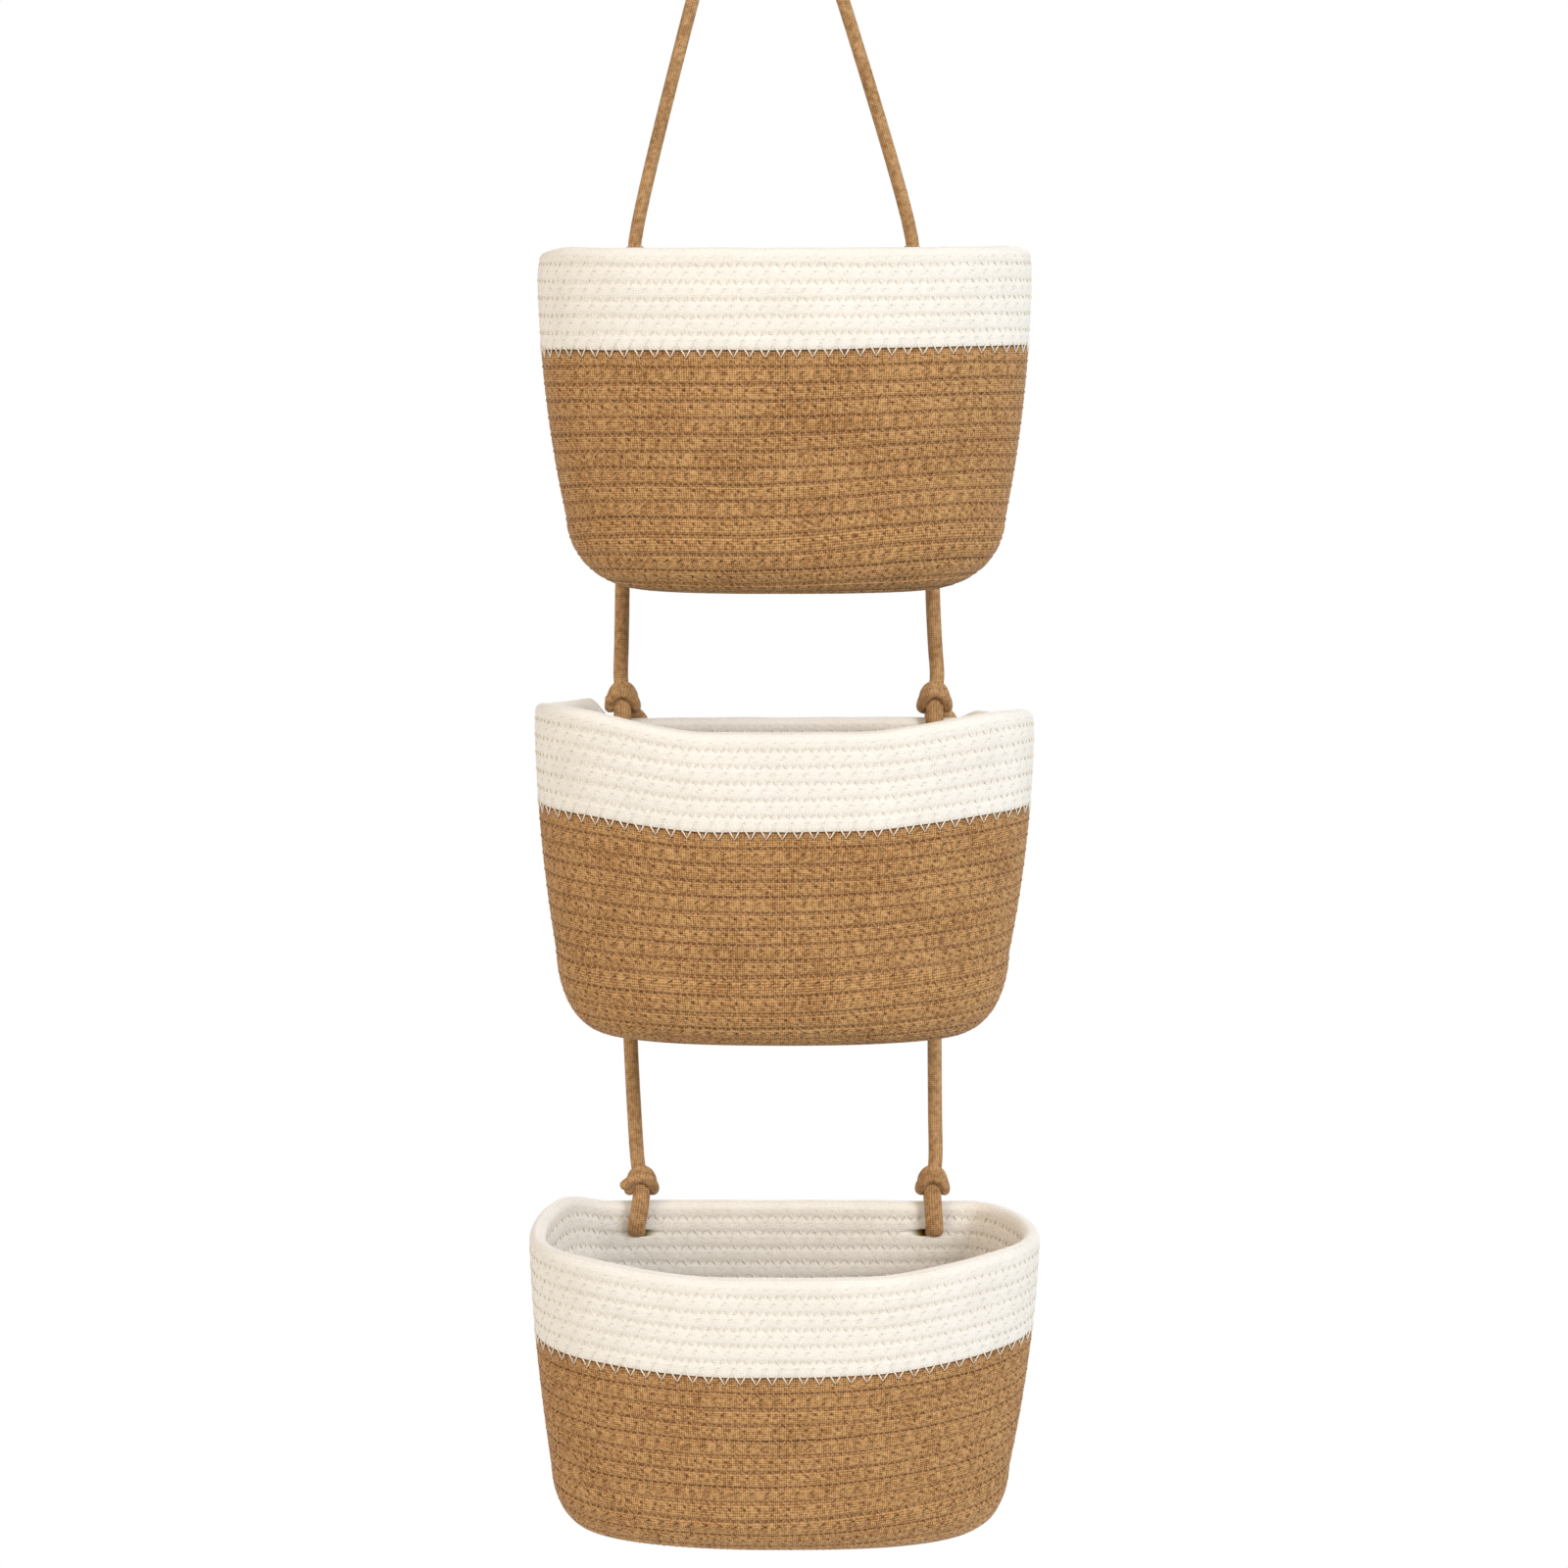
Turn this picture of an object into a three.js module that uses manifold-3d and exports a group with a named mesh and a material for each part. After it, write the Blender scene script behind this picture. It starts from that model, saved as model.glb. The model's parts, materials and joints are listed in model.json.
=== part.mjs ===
// Three-tier wall basket of sewn rope coils, hung from one hook by a rope hanger.
// Millimetres, +Z up, front towards -Y. The origin is where the hanger bears on its hook.
import * as THREE from 'three';
import { mergeVertices } from 'three/addons/utils/BufferGeometryUtils.js';
import Module from 'manifold-3d';

const wasm = await Module();
wasm.setup();

// Ropes and clearances
const HANGING_ROPE = 7;
const PRESSED_ROPE_WIDTH = 10;
const PRESSED_ROPE_THICKNESS = 5.2;
const SEAT_CLEARANCE = 0.4;
const LOOP_CLEARANCE = 0.9;
const TOUCH_CLEARANCE = 0.3;
const CUT_OVERRUN = 6;

// Coiled wall: a course is one turn of the rope, a seam the stitched line between two turns
const COURSE_THICKNESS = 8.8;
const SEAM_THICKNESS = 5.4;
const CREAM_COURSES = 6;

// Hanger over the hook, and the baskets' centre line to the right of it
const BIGHT_RADIUS = 14;
const BASKET_OFFSET = 11;

// Heights, top to bottom. A gap is from a basket's underside to the level of the next rim.
const HANGER_DROP = 217;
const UPPER_HEIGHT = 174.6;
const UPPER_GAP = 65.9;
const MIDDLE_HEIGHT = 171.7;
const LOWER_GAP = 116;
const LOWER_HEIGHT = 163.9;

// Rim plans, measured at the middle of the wall's thickness
const UPPER_HALF_WIDTH = 122;
const MIDDLE_HALF_WIDTH = 126.7;
const LOWER_HALF_WIDTH = 133.6;
const UPPER_FRONT_DEPTH = 62;
const MIDDLE_FRONT_DEPTH = 64;
const LOWER_FRONT_DEPTH = 67;
const BACK_DEPTH = 61;
const CORNER_WIDTH = 32;
const FRONT_FULLNESS = 2.4;

// How far each side and front is drawn in above the turned-in bottom
const UPPER_LEFT_TAPER = 13.4;
const UPPER_RIGHT_TAPER = 12;
const UPPER_FRONT_TAPER = 8;
const MIDDLE_LEFT_TAPER = 9.8;
const MIDDLE_RIGHT_TAPER = 11.6;
const MIDDLE_FRONT_TAPER = 8;
const LOWER_LEFT_TAPER = 10;
const LOWER_RIGHT_TAPER = 14.5;
const LOWER_FRONT_TAPER = 9;

// Turned-in bottom edges: their width at the sides, and their height
const UPPER_SIDE_TURN_WIDTH = 35;
const UPPER_TURN_HEIGHT = 32;
const MIDDLE_SIDE_TURN_WIDTH = 23;
const MIDDLE_TURN_HEIGHT = 40;
const LOWER_SIDE_TURN_WIDTH = 19;
const LOWER_TURN_HEIGHT = 32;

// Front and back edges of the bottom, alike on the three tiers
const FRONT_TURN_WIDTH = 24;
const BACK_TURN_WIDTH = 14;
const BACK_TURN_HEIGHT = 20;

// Worked rims: the dip of the back rim between the loops, and how far the rim's two ends stand
// above its level, at the side and at the back corner
const UPPER_BACK_DIP = 20;
const UPPER_LEFT_LIFT = 0.5;
const UPPER_RIGHT_LIFT = 1.2;
const MIDDLE_BACK_DIP = 12;
const MIDDLE_LEFT_LIFT = 8.5;
const MIDDLE_RIGHT_LIFT = 4.5;
const MIDDLE_LEFT_CORNER_LIFT = -1;
const MIDDLE_RIGHT_CORNER_LIFT = -8;
const LOWER_LEFT_LIFT = 4.5;
const LOWER_RIGHT_LIFT = 6;
const LOWER_LEFT_CORNER_LIFT = 7;
const LOWER_RIGHT_CORNER_LIFT = 0.5;

// Knot collars, above the dipped back rim
const UPPER_COLLAR_RISE = 10;
const MIDDLE_COLLAR_RISE = 9.5;
const LOWER_COLLAR_RISE = 11.7;

// Rim loops, across each basket from its centre line
const UPPER_LEFT_LOOP = -79;
const UPPER_RIGHT_LOOP = 67.4;
const MIDDLE_LEFT_LOOP = -88;
const MIDDLE_RIGHT_LOOP = 81.5;
const LOWER_LEFT_LOOP = -80;
const LOWER_RIGHT_LOOP = 82.8;

// Loops and knots that tie the ropes to the rims
const SLIT_SEAM = 2;
const KNOT_FORWARD = 2;
const COLLAR_WIDTH = 5.6;
const COLLAR_DEPTH = 5;
const COLLAR_ROPE = 6.4;
const COLLAR_ARCH = 3;
const KNOT_ABOVE_COLLAR = 9;
const TAIL_ROPE = 5.6;
const TAIL_LENGTH = 9;

// The rope leaves a basket's back this far below the base
const BEND_BELOW_BASE = 2;

const MIDDLE_DROP = HANGER_DROP + UPPER_HEIGHT + UPPER_GAP;
const LOWER_DROP = MIDDLE_DROP + MIDDLE_HEIGHT + LOWER_GAP;

// The tiers, top to bottom
const TIERS = [
  {
    name: 'upper', rimDrop: HANGER_DROP, height: UPPER_HEIGHT, courses: 21,
    halfWidth: UPPER_HALF_WIDTH, frontDepth: UPPER_FRONT_DEPTH, frontTaper: UPPER_FRONT_TAPER,
    sideTaper: { left: UPPER_LEFT_TAPER, right: UPPER_RIGHT_TAPER }, taperBow: 2.2,
    sideTurnWidth: UPPER_SIDE_TURN_WIDTH, turnHeight: UPPER_TURN_HEIGHT,
    backDip: UPPER_BACK_DIP, sideLift: { left: UPPER_LEFT_LIFT, right: UPPER_RIGHT_LIFT },
    cornerLift: { left: 0, right: 0 }, collarRise: UPPER_COLLAR_RISE,
    loops: { left: UPPER_LEFT_LOOP, right: UPPER_RIGHT_LOOP },
  },
  {
    name: 'middle', rimDrop: MIDDLE_DROP, height: MIDDLE_HEIGHT, courses: 20,
    halfWidth: MIDDLE_HALF_WIDTH, frontDepth: MIDDLE_FRONT_DEPTH, frontTaper: MIDDLE_FRONT_TAPER,
    sideTaper: { left: MIDDLE_LEFT_TAPER, right: MIDDLE_RIGHT_TAPER }, taperBow: 2.1,
    sideTurnWidth: MIDDLE_SIDE_TURN_WIDTH, turnHeight: MIDDLE_TURN_HEIGHT,
    backDip: MIDDLE_BACK_DIP, sideLift: { left: MIDDLE_LEFT_LIFT, right: MIDDLE_RIGHT_LIFT },
    cornerLift: { left: MIDDLE_LEFT_CORNER_LIFT, right: MIDDLE_RIGHT_CORNER_LIFT },
    collarRise: MIDDLE_COLLAR_RISE, loops: { left: MIDDLE_LEFT_LOOP, right: MIDDLE_RIGHT_LOOP },
  },
  {
    name: 'lower', rimDrop: LOWER_DROP, height: LOWER_HEIGHT, courses: 18,
    halfWidth: LOWER_HALF_WIDTH, frontDepth: LOWER_FRONT_DEPTH, frontTaper: LOWER_FRONT_TAPER,
    sideTaper: { left: LOWER_LEFT_TAPER, right: LOWER_RIGHT_TAPER }, taperBow: 1.7,
    sideTurnWidth: LOWER_SIDE_TURN_WIDTH, turnHeight: LOWER_TURN_HEIGHT,
    backDip: 0, sideLift: { left: LOWER_LEFT_LIFT, right: LOWER_RIGHT_LIFT },
    cornerLift: { left: LOWER_LEFT_CORNER_LIFT, right: LOWER_RIGHT_CORNER_LIFT },
    collarRise: LOWER_COLLAR_RISE, loops: { left: LOWER_LEFT_LOOP, right: LOWER_RIGHT_LOOP },
  },
];

// Facets
const FRONT_STATIONS = 13;
const CORNER_STATIONS = 4;
const BACK_STATIONS = 5;
const ROPE_SIDES = 8;
const KNOT_SIDES = 6;
const RING_STEPS = 8;
const LEG_STEPS = 10;
const BIGHT_STEPS = 12;
const LOOP_STEPS = 13;
const RUN_STEPS = 8;
const PLAIN_COURSES = 4;
const FACET_TOLERANCE = 0.2;

// Shares of the sizes above
const DIP_START_SHARE = 0.74;
const DIP_END_SHARE = 0.95;
const LIFT_START_SHARE = 0.3;
const LIFT_END_SHARE = 0.9;
const SHIFT_COURSES_SHARE = 0.7;
const REAR_START_SHARE = -0.5;
const BEHIND_START_SHARE = 0.6;
const BEHIND_END_SHARE = 0.92;
const RUN_START_SHARE = 0.25;
const RUN_END_SHARE = 0.95;

const CREAM_ROPE = { color: 0xf3efe4, roughness: 0.92, metalness: 0 };
const TAN_ROPE = { color: 0xad7f4e, roughness: 0.9, metalness: 0 };
const HANGING_CORD = { color: 0xa67c4a, roughness: 0.85, metalness: 0 };

// The knots stand under the hook, so the baskets lie in front of it
const BASKET_MIDDLE = KNOT_FORWARD - BACK_DEPTH;
const ROPE_RADIUS = HANGING_ROPE / 2;
const HALF_COURSE = COURSE_THICKNESS / 2;
const HALF_SEAM = SEAM_THICKNESS / 2;
const RUN_PLACE = KNOT_FORWARD + HALF_COURSE + SEAT_CLEARANCE + ROPE_RADIUS;

const object = new THREE.Group();
object.name = 'wall_basket';

function addPiece(name, geometry, finish) {
  const mesh = new THREE.Mesh(geometry, new THREE.MeshStandardMaterial(finish));
  mesh.name = name;
  object.add(mesh);
}

// Joins and cuts
function toSolid(geometry) {
  const bare = geometry.clone();
  bare.deleteAttribute('normal');
  bare.deleteAttribute('uv');
  const merged = mergeVertices(bare);
  return new wasm.Manifold(new wasm.Mesh({
    numProp: 3,
    vertProperties: new Float32Array(merged.attributes.position.array),
    triVerts: new Uint32Array(merged.index.array),
  }));
}

function toGeometry(solid) {
  const mesh = solid.getMesh();
  const geometry = new THREE.BufferGeometry();
  geometry.setAttribute('position', new THREE.Float32BufferAttribute(mesh.vertProperties, 3));
  geometry.setIndex(Array.from(mesh.triVerts));
  geometry.computeVertexNormals();
  return geometry;
}

// Joins solids that meet. What counts is the outside: a pocket that they close in is filled.
function joined(geometries) {
  const whole = geometries.map(toSolid).reduce((sum, next) => sum.add(next));
  const shells = whole.decompose().sort((one, other) => other.volume() - one.volume());
  return toGeometry(shells[0].simplify(FACET_TOLERANCE));
}

function cut(geometry, cutters) {
  return toGeometry(cutters.map(toSolid).reduce((whole, next) => whole.subtract(next), toSolid(geometry)));
}

// Plan of a basket: a full rounded front, elliptical back corners and a flat back.
// Stations run from the right side round the front and the left side to the back.
function planStations() {
  const front = Array.from({ length: FRONT_STATIONS }, (_, step) => (
    { part: 'front', turn: (Math.PI * step) / FRONT_STATIONS }));
  const left = Array.from({ length: CORNER_STATIONS }, (_, step) => (
    { part: 'left', turn: (Math.PI / 2) * (step / CORNER_STATIONS) }));
  const back = Array.from({ length: BACK_STATIONS }, (_, step) => (
    { part: 'back', across: (2 * step) / BACK_STATIONS - 1 }));
  const right = Array.from({ length: CORNER_STATIONS }, (_, step) => (
    { part: 'right', turn: (Math.PI / 2) * (1 - step / CORNER_STATIONS) }));
  return [...front, ...left, ...back, ...right];
}

const STATIONS = planStations();

function planPoint(station, plan) {
  const flat = plan.halfWidth - plan.cornerWidth;
  if (station.part === 'front') {
    const power = 2 / FRONT_FULLNESS;
    const across = Math.cos(station.turn);
    const forward = Math.sin(station.turn);
    return new THREE.Vector2(
      plan.halfWidth * Math.sign(across) * Math.abs(across) ** power,
      -plan.frontDepth * Math.abs(forward) ** power,
    );
  }
  if (station.part === 'back') {
    return new THREE.Vector2(flat * station.across, plan.backDepth);
  }
  const side = station.part === 'left' ? -1 : 1;
  return new THREE.Vector2(
    side * (flat + plan.cornerWidth * Math.cos(station.turn)),
    plan.backDepth * Math.sin(station.turn),
  );
}

// How far a side is drawn in above the turned-in bottom; the two sides differ
function sideTaperAt(tier, normal) {
  const { left, right } = tier.sideTaper;
  return (left + right) / 2 + ((right - left) / 2) * normal.x;
}

// The plan where the wall faces a way, drawn in by a share of all that the taper and the
// turned-in bottom take off it
function planAt(tier, share, normal) {
  return {
    halfWidth: tier.halfWidth - share * (sideTaperAt(tier, normal) + tier.sideTurnWidth),
    frontDepth: tier.frontDepth - share * (tier.frontTaper + FRONT_TURN_WIDTH),
    backDepth: BACK_DEPTH - share * BACK_TURN_WIDTH,
    cornerWidth: CORNER_WIDTH,
  };
}

// Outward direction of the plan at each station, from the stations beside it
function planNormals(tier) {
  const plan = planAt(tier, 0, new THREE.Vector2());
  const points = STATIONS.map((station) => planPoint(station, plan));
  return points.map((point, index) => {
    const before = points[(index + points.length - 1) % points.length];
    const after = points[(index + 1) % points.length];
    const along = after.clone().sub(before).normalize();
    return new THREE.Vector2(-along.y, along.x);
  });
}

// A size that differs at the sides, the front and the back, mixed by the way the wall faces
function mixed(normal, side, front, back) {
  const facing = normal.y < 0 ? front : back;
  return side * normal.x ** 2 + facing * normal.y ** 2;
}

// How far the courses near the rim stand above their level
function rimShift(tier, point, courses) {
  const { smoothstep, lerp } = THREE.MathUtils;
  const side = point.x < 0 ? 'left' : 'right';
  const across = Math.abs(point.x) / tier.halfWidth;
  const back = point.y / BACK_DEPTH;
  const behind = smoothstep(back, BEHIND_START_SHARE, BEHIND_END_SHARE);
  const rearward = smoothstep(back, REAR_START_SHARE, BEHIND_END_SHARE);
  const atCorner = smoothstep(across, DIP_START_SHARE, DIP_END_SHARE);
  const atEnd = lerp(smoothstep(across, LIFT_START_SHARE, LIFT_END_SHARE), atCorner, behind);
  const lift = lerp(tier.sideLift[side], tier.cornerLift[side], rearward) * atEnd;
  const dip = tier.backDip * behind * (1 - atCorner);
  const fading = Math.max(0, 1 - courses / (tier.courses * SHIFT_COURSES_SHARE));
  return (lift - dip) * fading;
}

// The wall's middle surface, a number of courses down from the top of the rim
function wallPlace(tier, station, normal, courses) {
  const turnWidth = mixed(normal, tier.sideTurnWidth, FRONT_TURN_WIDTH, BACK_TURN_WIDTH);
  const turnHeight = mixed(normal, tier.turnHeight, tier.turnHeight, BACK_TURN_HEIGHT);
  const taper = mixed(normal, sideTaperAt(tier, normal), tier.frontTaper, 0);
  const straight = tier.height - HALF_COURSE - turnHeight;
  const turnLength = (Math.PI / 2) * Math.hypot(turnWidth, turnHeight) * Math.SQRT1_2;
  const run = (courses / tier.courses) * (straight + turnLength);
  const turn = Math.max(0, ((run - straight) / turnLength) * (Math.PI / 2));
  const tapered = taper * (Math.min(run, straight) / straight) ** tier.taperBow;
  const inset = tapered + turnWidth * (1 - Math.cos(turn));
  const drop = Math.min(run, straight) + turnHeight * Math.sin(turn);
  const tilt = Math.atan2(turnWidth * Math.sin(turn), turnHeight * Math.cos(turn));
  const point = planPoint(station, planAt(tier, inset / (taper + turnWidth), normal));
  return { point, height: -tier.rimDrop - drop + rimShift(tier, point, courses), tilt };
}

function wallPoint(tier, index, normal, [courses, outward]) {
  const { point, height, tilt } = wallPlace(tier, STATIONS[index], normal, courses);
  const level = outward * Math.cos(tilt);
  return new THREE.Vector3(
    BASKET_OFFSET + point.x + normal.x * level,
    BASKET_MIDDLE + point.y + normal.y * level,
    height - outward * Math.sin(tilt),
  );
}

function backWallHeight(tier, across, courses) {
  const station = { part: 'back', across: across / (tier.halfWidth - CORNER_WIDTH) };
  return wallPlace(tier, station, new THREE.Vector2(0, 1), courses).height;
}

function baseHeight(tier) {
  return -tier.rimDrop - tier.height + HALF_COURSE;
}

// A grid of closed rings. A tube's last ring meets its first; otherwise the first and last
// rings are closed by a fan round their middle.
function ringGrid(rings, isTube) {
  const around = rings[0].length;
  const points = rings.flat();
  const faces = [];
  const bands = isTube ? rings.length : rings.length - 1;
  for (let band = 0; band < bands; band += 1) {
    const near = band * around;
    const far = ((band + 1) % rings.length) * around;
    for (let step = 0; step < around; step += 1) {
      const next = (step + 1) % around;
      faces.push(near + step, far + step, far + next, near + step, far + next, near + next);
    }
  }
  if (!isTube) {
    const last = (rings.length - 1) * around;
    for (const start of [0, last]) {
      const ring = points.slice(start, start + around);
      const middle = ring.reduce((sum, point) => sum.add(point), new THREE.Vector3());
      points.push(middle.divideScalar(around));
      for (let step = 0; step < around; step += 1) {
        const next = (step + 1) % around;
        const pair = start === 0 ? [step, next] : [next, step];
        faces.push(points.length - 1, start + pair[0], start + pair[1]);
      }
    }
  }
  const geometry = new THREE.BufferGeometry().setFromPoints(points);
  geometry.setIndex(faces);
  geometry.computeVertexNormals();
  return geometry;
}

// Cross-section of a run of courses, full at each course and drawn in at each seam, as pairs
// of courses down from the rim and distance outward. A plain inside has no courses drawn.
function courseSection(first, last, hasRoundRim, hasPlainInside) {
  const clear = TOUCH_CLEARANCE / COURSE_THICKNESS;
  const top = hasRoundRim ? first : first + clear;
  const bottom = last - clear;
  const section = hasRoundRim ? [[top, 0]] : [[top, -HALF_SEAM], [top, HALF_SEAM]];
  for (let course = first; course < last; course += 1) {
    section.push([course + 1 / 2, HALF_COURSE]);
    section.push([Math.min(course + 1, bottom), HALF_SEAM]);
  }
  section.push([bottom, -HALF_SEAM]);
  if (hasPlainInside) {
    const spans = Math.ceil((last - first) / PLAIN_COURSES);
    for (let span = 1; span < spans; span += 1) {
      section.push([last - ((last - first) * span) / spans, -(HALF_COURSE + HALF_SEAM) / 2]);
    }
  } else {
    for (let course = last - 1; course >= first; course -= 1) {
      section.push([course + 1 / 2, -HALF_COURSE]);
      if (course > first) section.push([course, -HALF_SEAM]);
    }
  }
  return section;
}

function wallBand(tier, section) {
  const normals = planNormals(tier);
  return ringGrid(STATIONS.map((_, index) => (
    section.map((place) => wallPoint(tier, index, normals[index], place)))), true);
}

// Base: an oval coil of flat courses, ribbed underneath, from the wall's last course to the
// short straight course in its middle
function basePlate(tier) {
  const normals = planNormals(tier);
  const plan = planAt(tier, 1, new THREE.Vector2());
  const middle = (plan.backDepth - plan.frontDepth) / 2;
  const halfDepth = (plan.backDepth + plan.frontDepth) / 2;
  const turns = Math.round(halfDepth / COURSE_THICKNESS);
  const straight = plan.halfWidth - halfDepth;
  const height = baseHeight(tier);
  const ring = (inward, up) => STATIONS.map((station, index) => {
    const edge = planPoint(station, planAt(tier, 1, normals[index]));
    const spine = new THREE.Vector2(THREE.MathUtils.clamp(edge.x, -straight, straight), middle);
    const place = edge.lerp(spine, inward / halfDepth);
    return new THREE.Vector3(BASKET_OFFSET + place.x, BASKET_MIDDLE + place.y, height + up);
  });
  const rings = [ring(TOUCH_CLEARANCE, HALF_COURSE), ring(TOUCH_CLEARANCE, -HALF_SEAM)];
  for (let turn = 1; turn < turns; turn += 1) {
    const course = halfDepth / turns;
    rings.push(ring(course * (turn - 1 / 2), -HALF_COURSE));
    rings.push(ring(course * turn, -HALF_SEAM));
  }
  rings.push(ring(halfDepth - HALF_COURSE / 2, -HALF_COURSE));
  return ringGrid(rings.reverse(), false);
}

// A rope swept through a list of places, one ring of its section at each
class RopeRoute extends THREE.Curve {
  constructor(places) {
    super();
    this.places = places;
  }

  getPoint(share, target = new THREE.Vector3()) {
    const step = THREE.MathUtils.clamp(share, 0, 1) * (this.places.length - 1);
    const index = Math.min(Math.floor(step), this.places.length - 2);
    return target.lerpVectors(this.places[index], this.places[index + 1], step - index);
  }

  getPointAt(share, target) {
    return this.getPoint(share, target);
  }

  getTangentAt(share, target) {
    return this.getTangent(share, target);
  }
}

function sweptRope(places, halfWidth, halfThickness, sides) {
  const section = new THREE.Shape();
  section.absellipse(0, 0, halfWidth, halfThickness, 0, 2 * Math.PI);
  return new THREE.ExtrudeGeometry(section, {
    steps: places.length - 1,
    curveSegments: sides / 2,
    extrudePath: new RopeRoute(places),
  });
}

function between(geometry, start, end) {
  const along = end.clone().sub(start).normalize();
  geometry.applyQuaternion(new THREE.Quaternion().setFromUnitVectors(new THREE.Vector3(0, 1, 0), along));
  const middle = start.clone().add(end).divideScalar(2);
  return geometry.translate(middle.x, middle.y, middle.z);
}

// Heights of the lines that a basket tips about and that the rope below it swings about. A
// rope's round end is centred on the line, a clearance away from the flat end that it meets.
const ROPE_END = ROPE_RADIUS + TOUCH_CLEARANCE;

function collarHeight(tier) {
  return -tier.rimDrop - tier.backDip + tier.collarRise;
}

function knotTop(tier) {
  return collarHeight(tier) + KNOT_ABOVE_COLLAR;
}

function rimSwing(tier) {
  return knotTop(tier) + ROPE_END;
}

function baseSwing(tier) {
  return baseHeight(tier) - HALF_COURSE - BEND_BELOW_BASE;
}

// Hanger: one rope over the hook, its legs running straight to the knots on the upper rim
function hanger(tier) {
  const centre = new THREE.Vector2(0, ROPE_RADIUS - BIGHT_RADIUS);
  const legs = [tier.loops.left, tier.loops.right].map((across, side) => {
    const foot = new THREE.Vector2(BASKET_OFFSET + across, rimSwing(tier));
    const reach = foot.clone().sub(centre);
    const open = Math.acos(BIGHT_RADIUS / reach.length());
    return { foot, turn: reach.angle() + (side === 0 ? -open : open) };
  });
  const onBight = (turn) => new THREE.Vector2(
    centre.x + BIGHT_RADIUS * Math.cos(turn),
    centre.y + BIGHT_RADIUS * Math.sin(turn),
  );
  const [left, right] = legs;
  const sweep = THREE.MathUtils.euclideanModulo(left.turn - right.turn, 2 * Math.PI);
  const places = [];
  for (let step = 0; step < LEG_STEPS; step += 1) {
    places.push(left.foot.clone().lerp(onBight(left.turn), step / LEG_STEPS));
  }
  for (let step = 0; step <= BIGHT_STEPS; step += 1) {
    places.push(onBight(left.turn - (sweep * step) / BIGHT_STEPS));
  }
  for (let step = 1; step <= LEG_STEPS; step += 1) {
    places.push(onBight(right.turn).lerp(right.foot, step / LEG_STEPS));
  }
  const route = places.map((place) => new THREE.Vector3(place.x, 0, place.y));
  const ends = legs.map(({ foot }) => (
    new THREE.SphereGeometry(ROPE_RADIUS, ROPE_SIDES, ROPE_SIDES - 2).translate(foot.x, 0, foot.y)));
  return joined([sweptRope(route, ROPE_RADIUS, ROPE_RADIUS, ROPE_SIDES), ...ends]);
}

// Rim loop: the rope pressed round the two top courses through a slit, tied above the rim by a
// collar that arches over its front leg, with the short tail that sticks out of the knot
function rimLoop(tier, across) {
  const rim = backWallHeight(tier, across, 0);
  const seam = backWallHeight(tier, across, SLIT_SEAM);
  const collar = collarHeight(tier);
  const leg = HALF_COURSE + LOOP_CLEARANCE + PRESSED_ROPE_THICKNESS / 2;
  const bend = PRESSED_ROPE_THICKNESS / 2 + LOOP_CLEARANCE;
  const wall = KNOT_FORWARD;
  const at = (forward, height) => new THREE.Vector3(BASKET_OFFSET + across, wall + forward, height);
  const corners = [
    at(-KNOT_FORWARD, collar + COLLAR_ROPE / 2),
    at(-KNOT_FORWARD - COLLAR_ROPE / 4, (collar + rim) / 2 + COLLAR_ROPE / 4),
    at(-leg, rim - HALF_COURSE / 2),
    at(-leg, seam + bend),
    at(-leg + bend, seam),
    at(leg - bend, seam),
    at(leg, seam + bend),
    at(leg, rim - HALF_COURSE / 2),
    at(leg - bend, (collar + rim) / 2),
    at(0, collar + COLLAR_ROPE / 4),
  ];
  const route = new THREE.CatmullRomCurve3(corners, false, 'centripetal').getSpacedPoints(LOOP_STEPS);
  const pressed = sweptRope(route, PRESSED_ROPE_WIDTH / 2, PRESSED_ROPE_THICKNESS / 2, KNOT_SIDES);
  const ring = new THREE.TorusGeometry(COLLAR_DEPTH, COLLAR_ROPE / 2, KNOT_SIDES, RING_STEPS);
  const places = ring.attributes.position;
  for (let index = 0; index < places.count; index += 1) {
    const place = new THREE.Vector3().fromBufferAttribute(places, index);
    const turn = Math.atan2(place.y, place.x);
    const arch = COLLAR_ARCH * (Math.sin(turn) ** 2 - 1 / 2);
    places.setX(index, place.x + (COLLAR_WIDTH - COLLAR_DEPTH) * Math.cos(turn));
    places.setZ(index, place.z + arch);
  }
  ring.translate(BASKET_OFFSET + across, 0, collar);
  const coreLength = knotTop(tier) - collar + COLLAR_ROPE;
  const core = new THREE.CylinderGeometry(ROPE_RADIUS, ROPE_RADIUS, coreLength, KNOT_SIDES);
  core.rotateX(Math.PI / 2);
  core.translate(BASKET_OFFSET + across, 0, knotTop(tier) - coreLength / 2);
  const tail = new THREE.CylinderGeometry(TAIL_ROPE / 2, TAIL_ROPE / 2, TAIL_LENGTH, KNOT_SIDES);
  tail.translate(0, -COLLAR_WIDTH - TAIL_LENGTH / 4, 0);
  tail.rotateX(Math.PI / 2);
  tail.rotateX(-Math.PI / 4);
  tail.rotateZ(across < 0 ? -Math.PI / 2 : Math.PI);
  tail.translate(BASKET_OFFSET + across, 0, collar + COLLAR_ARCH);
  const heart = new THREE.SphereGeometry(1, KNOT_SIDES, KNOT_SIDES);
  heart.rotateX(Math.PI / 2);
  heart.scale(COLLAR_WIDTH, COLLAR_DEPTH, COLLAR_ROPE);
  heart.translate(BASKET_OFFSET + across, 0, collar);
  return joined([pressed, ring, core, heart, tail]);
}

function slit(tier, across) {
  const width = PRESSED_ROPE_WIDTH + 2 * LOOP_CLEARANCE;
  const height = PRESSED_ROPE_THICKNESS + 2 * LOOP_CLEARANCE;
  const box = new THREE.BoxGeometry(width, COURSE_THICKNESS + 2 * CUT_OVERRUN, height);
  return box.translate(BASKET_OFFSET + across, KNOT_FORWARD, backWallHeight(tier, across, SLIT_SEAM));
}

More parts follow.
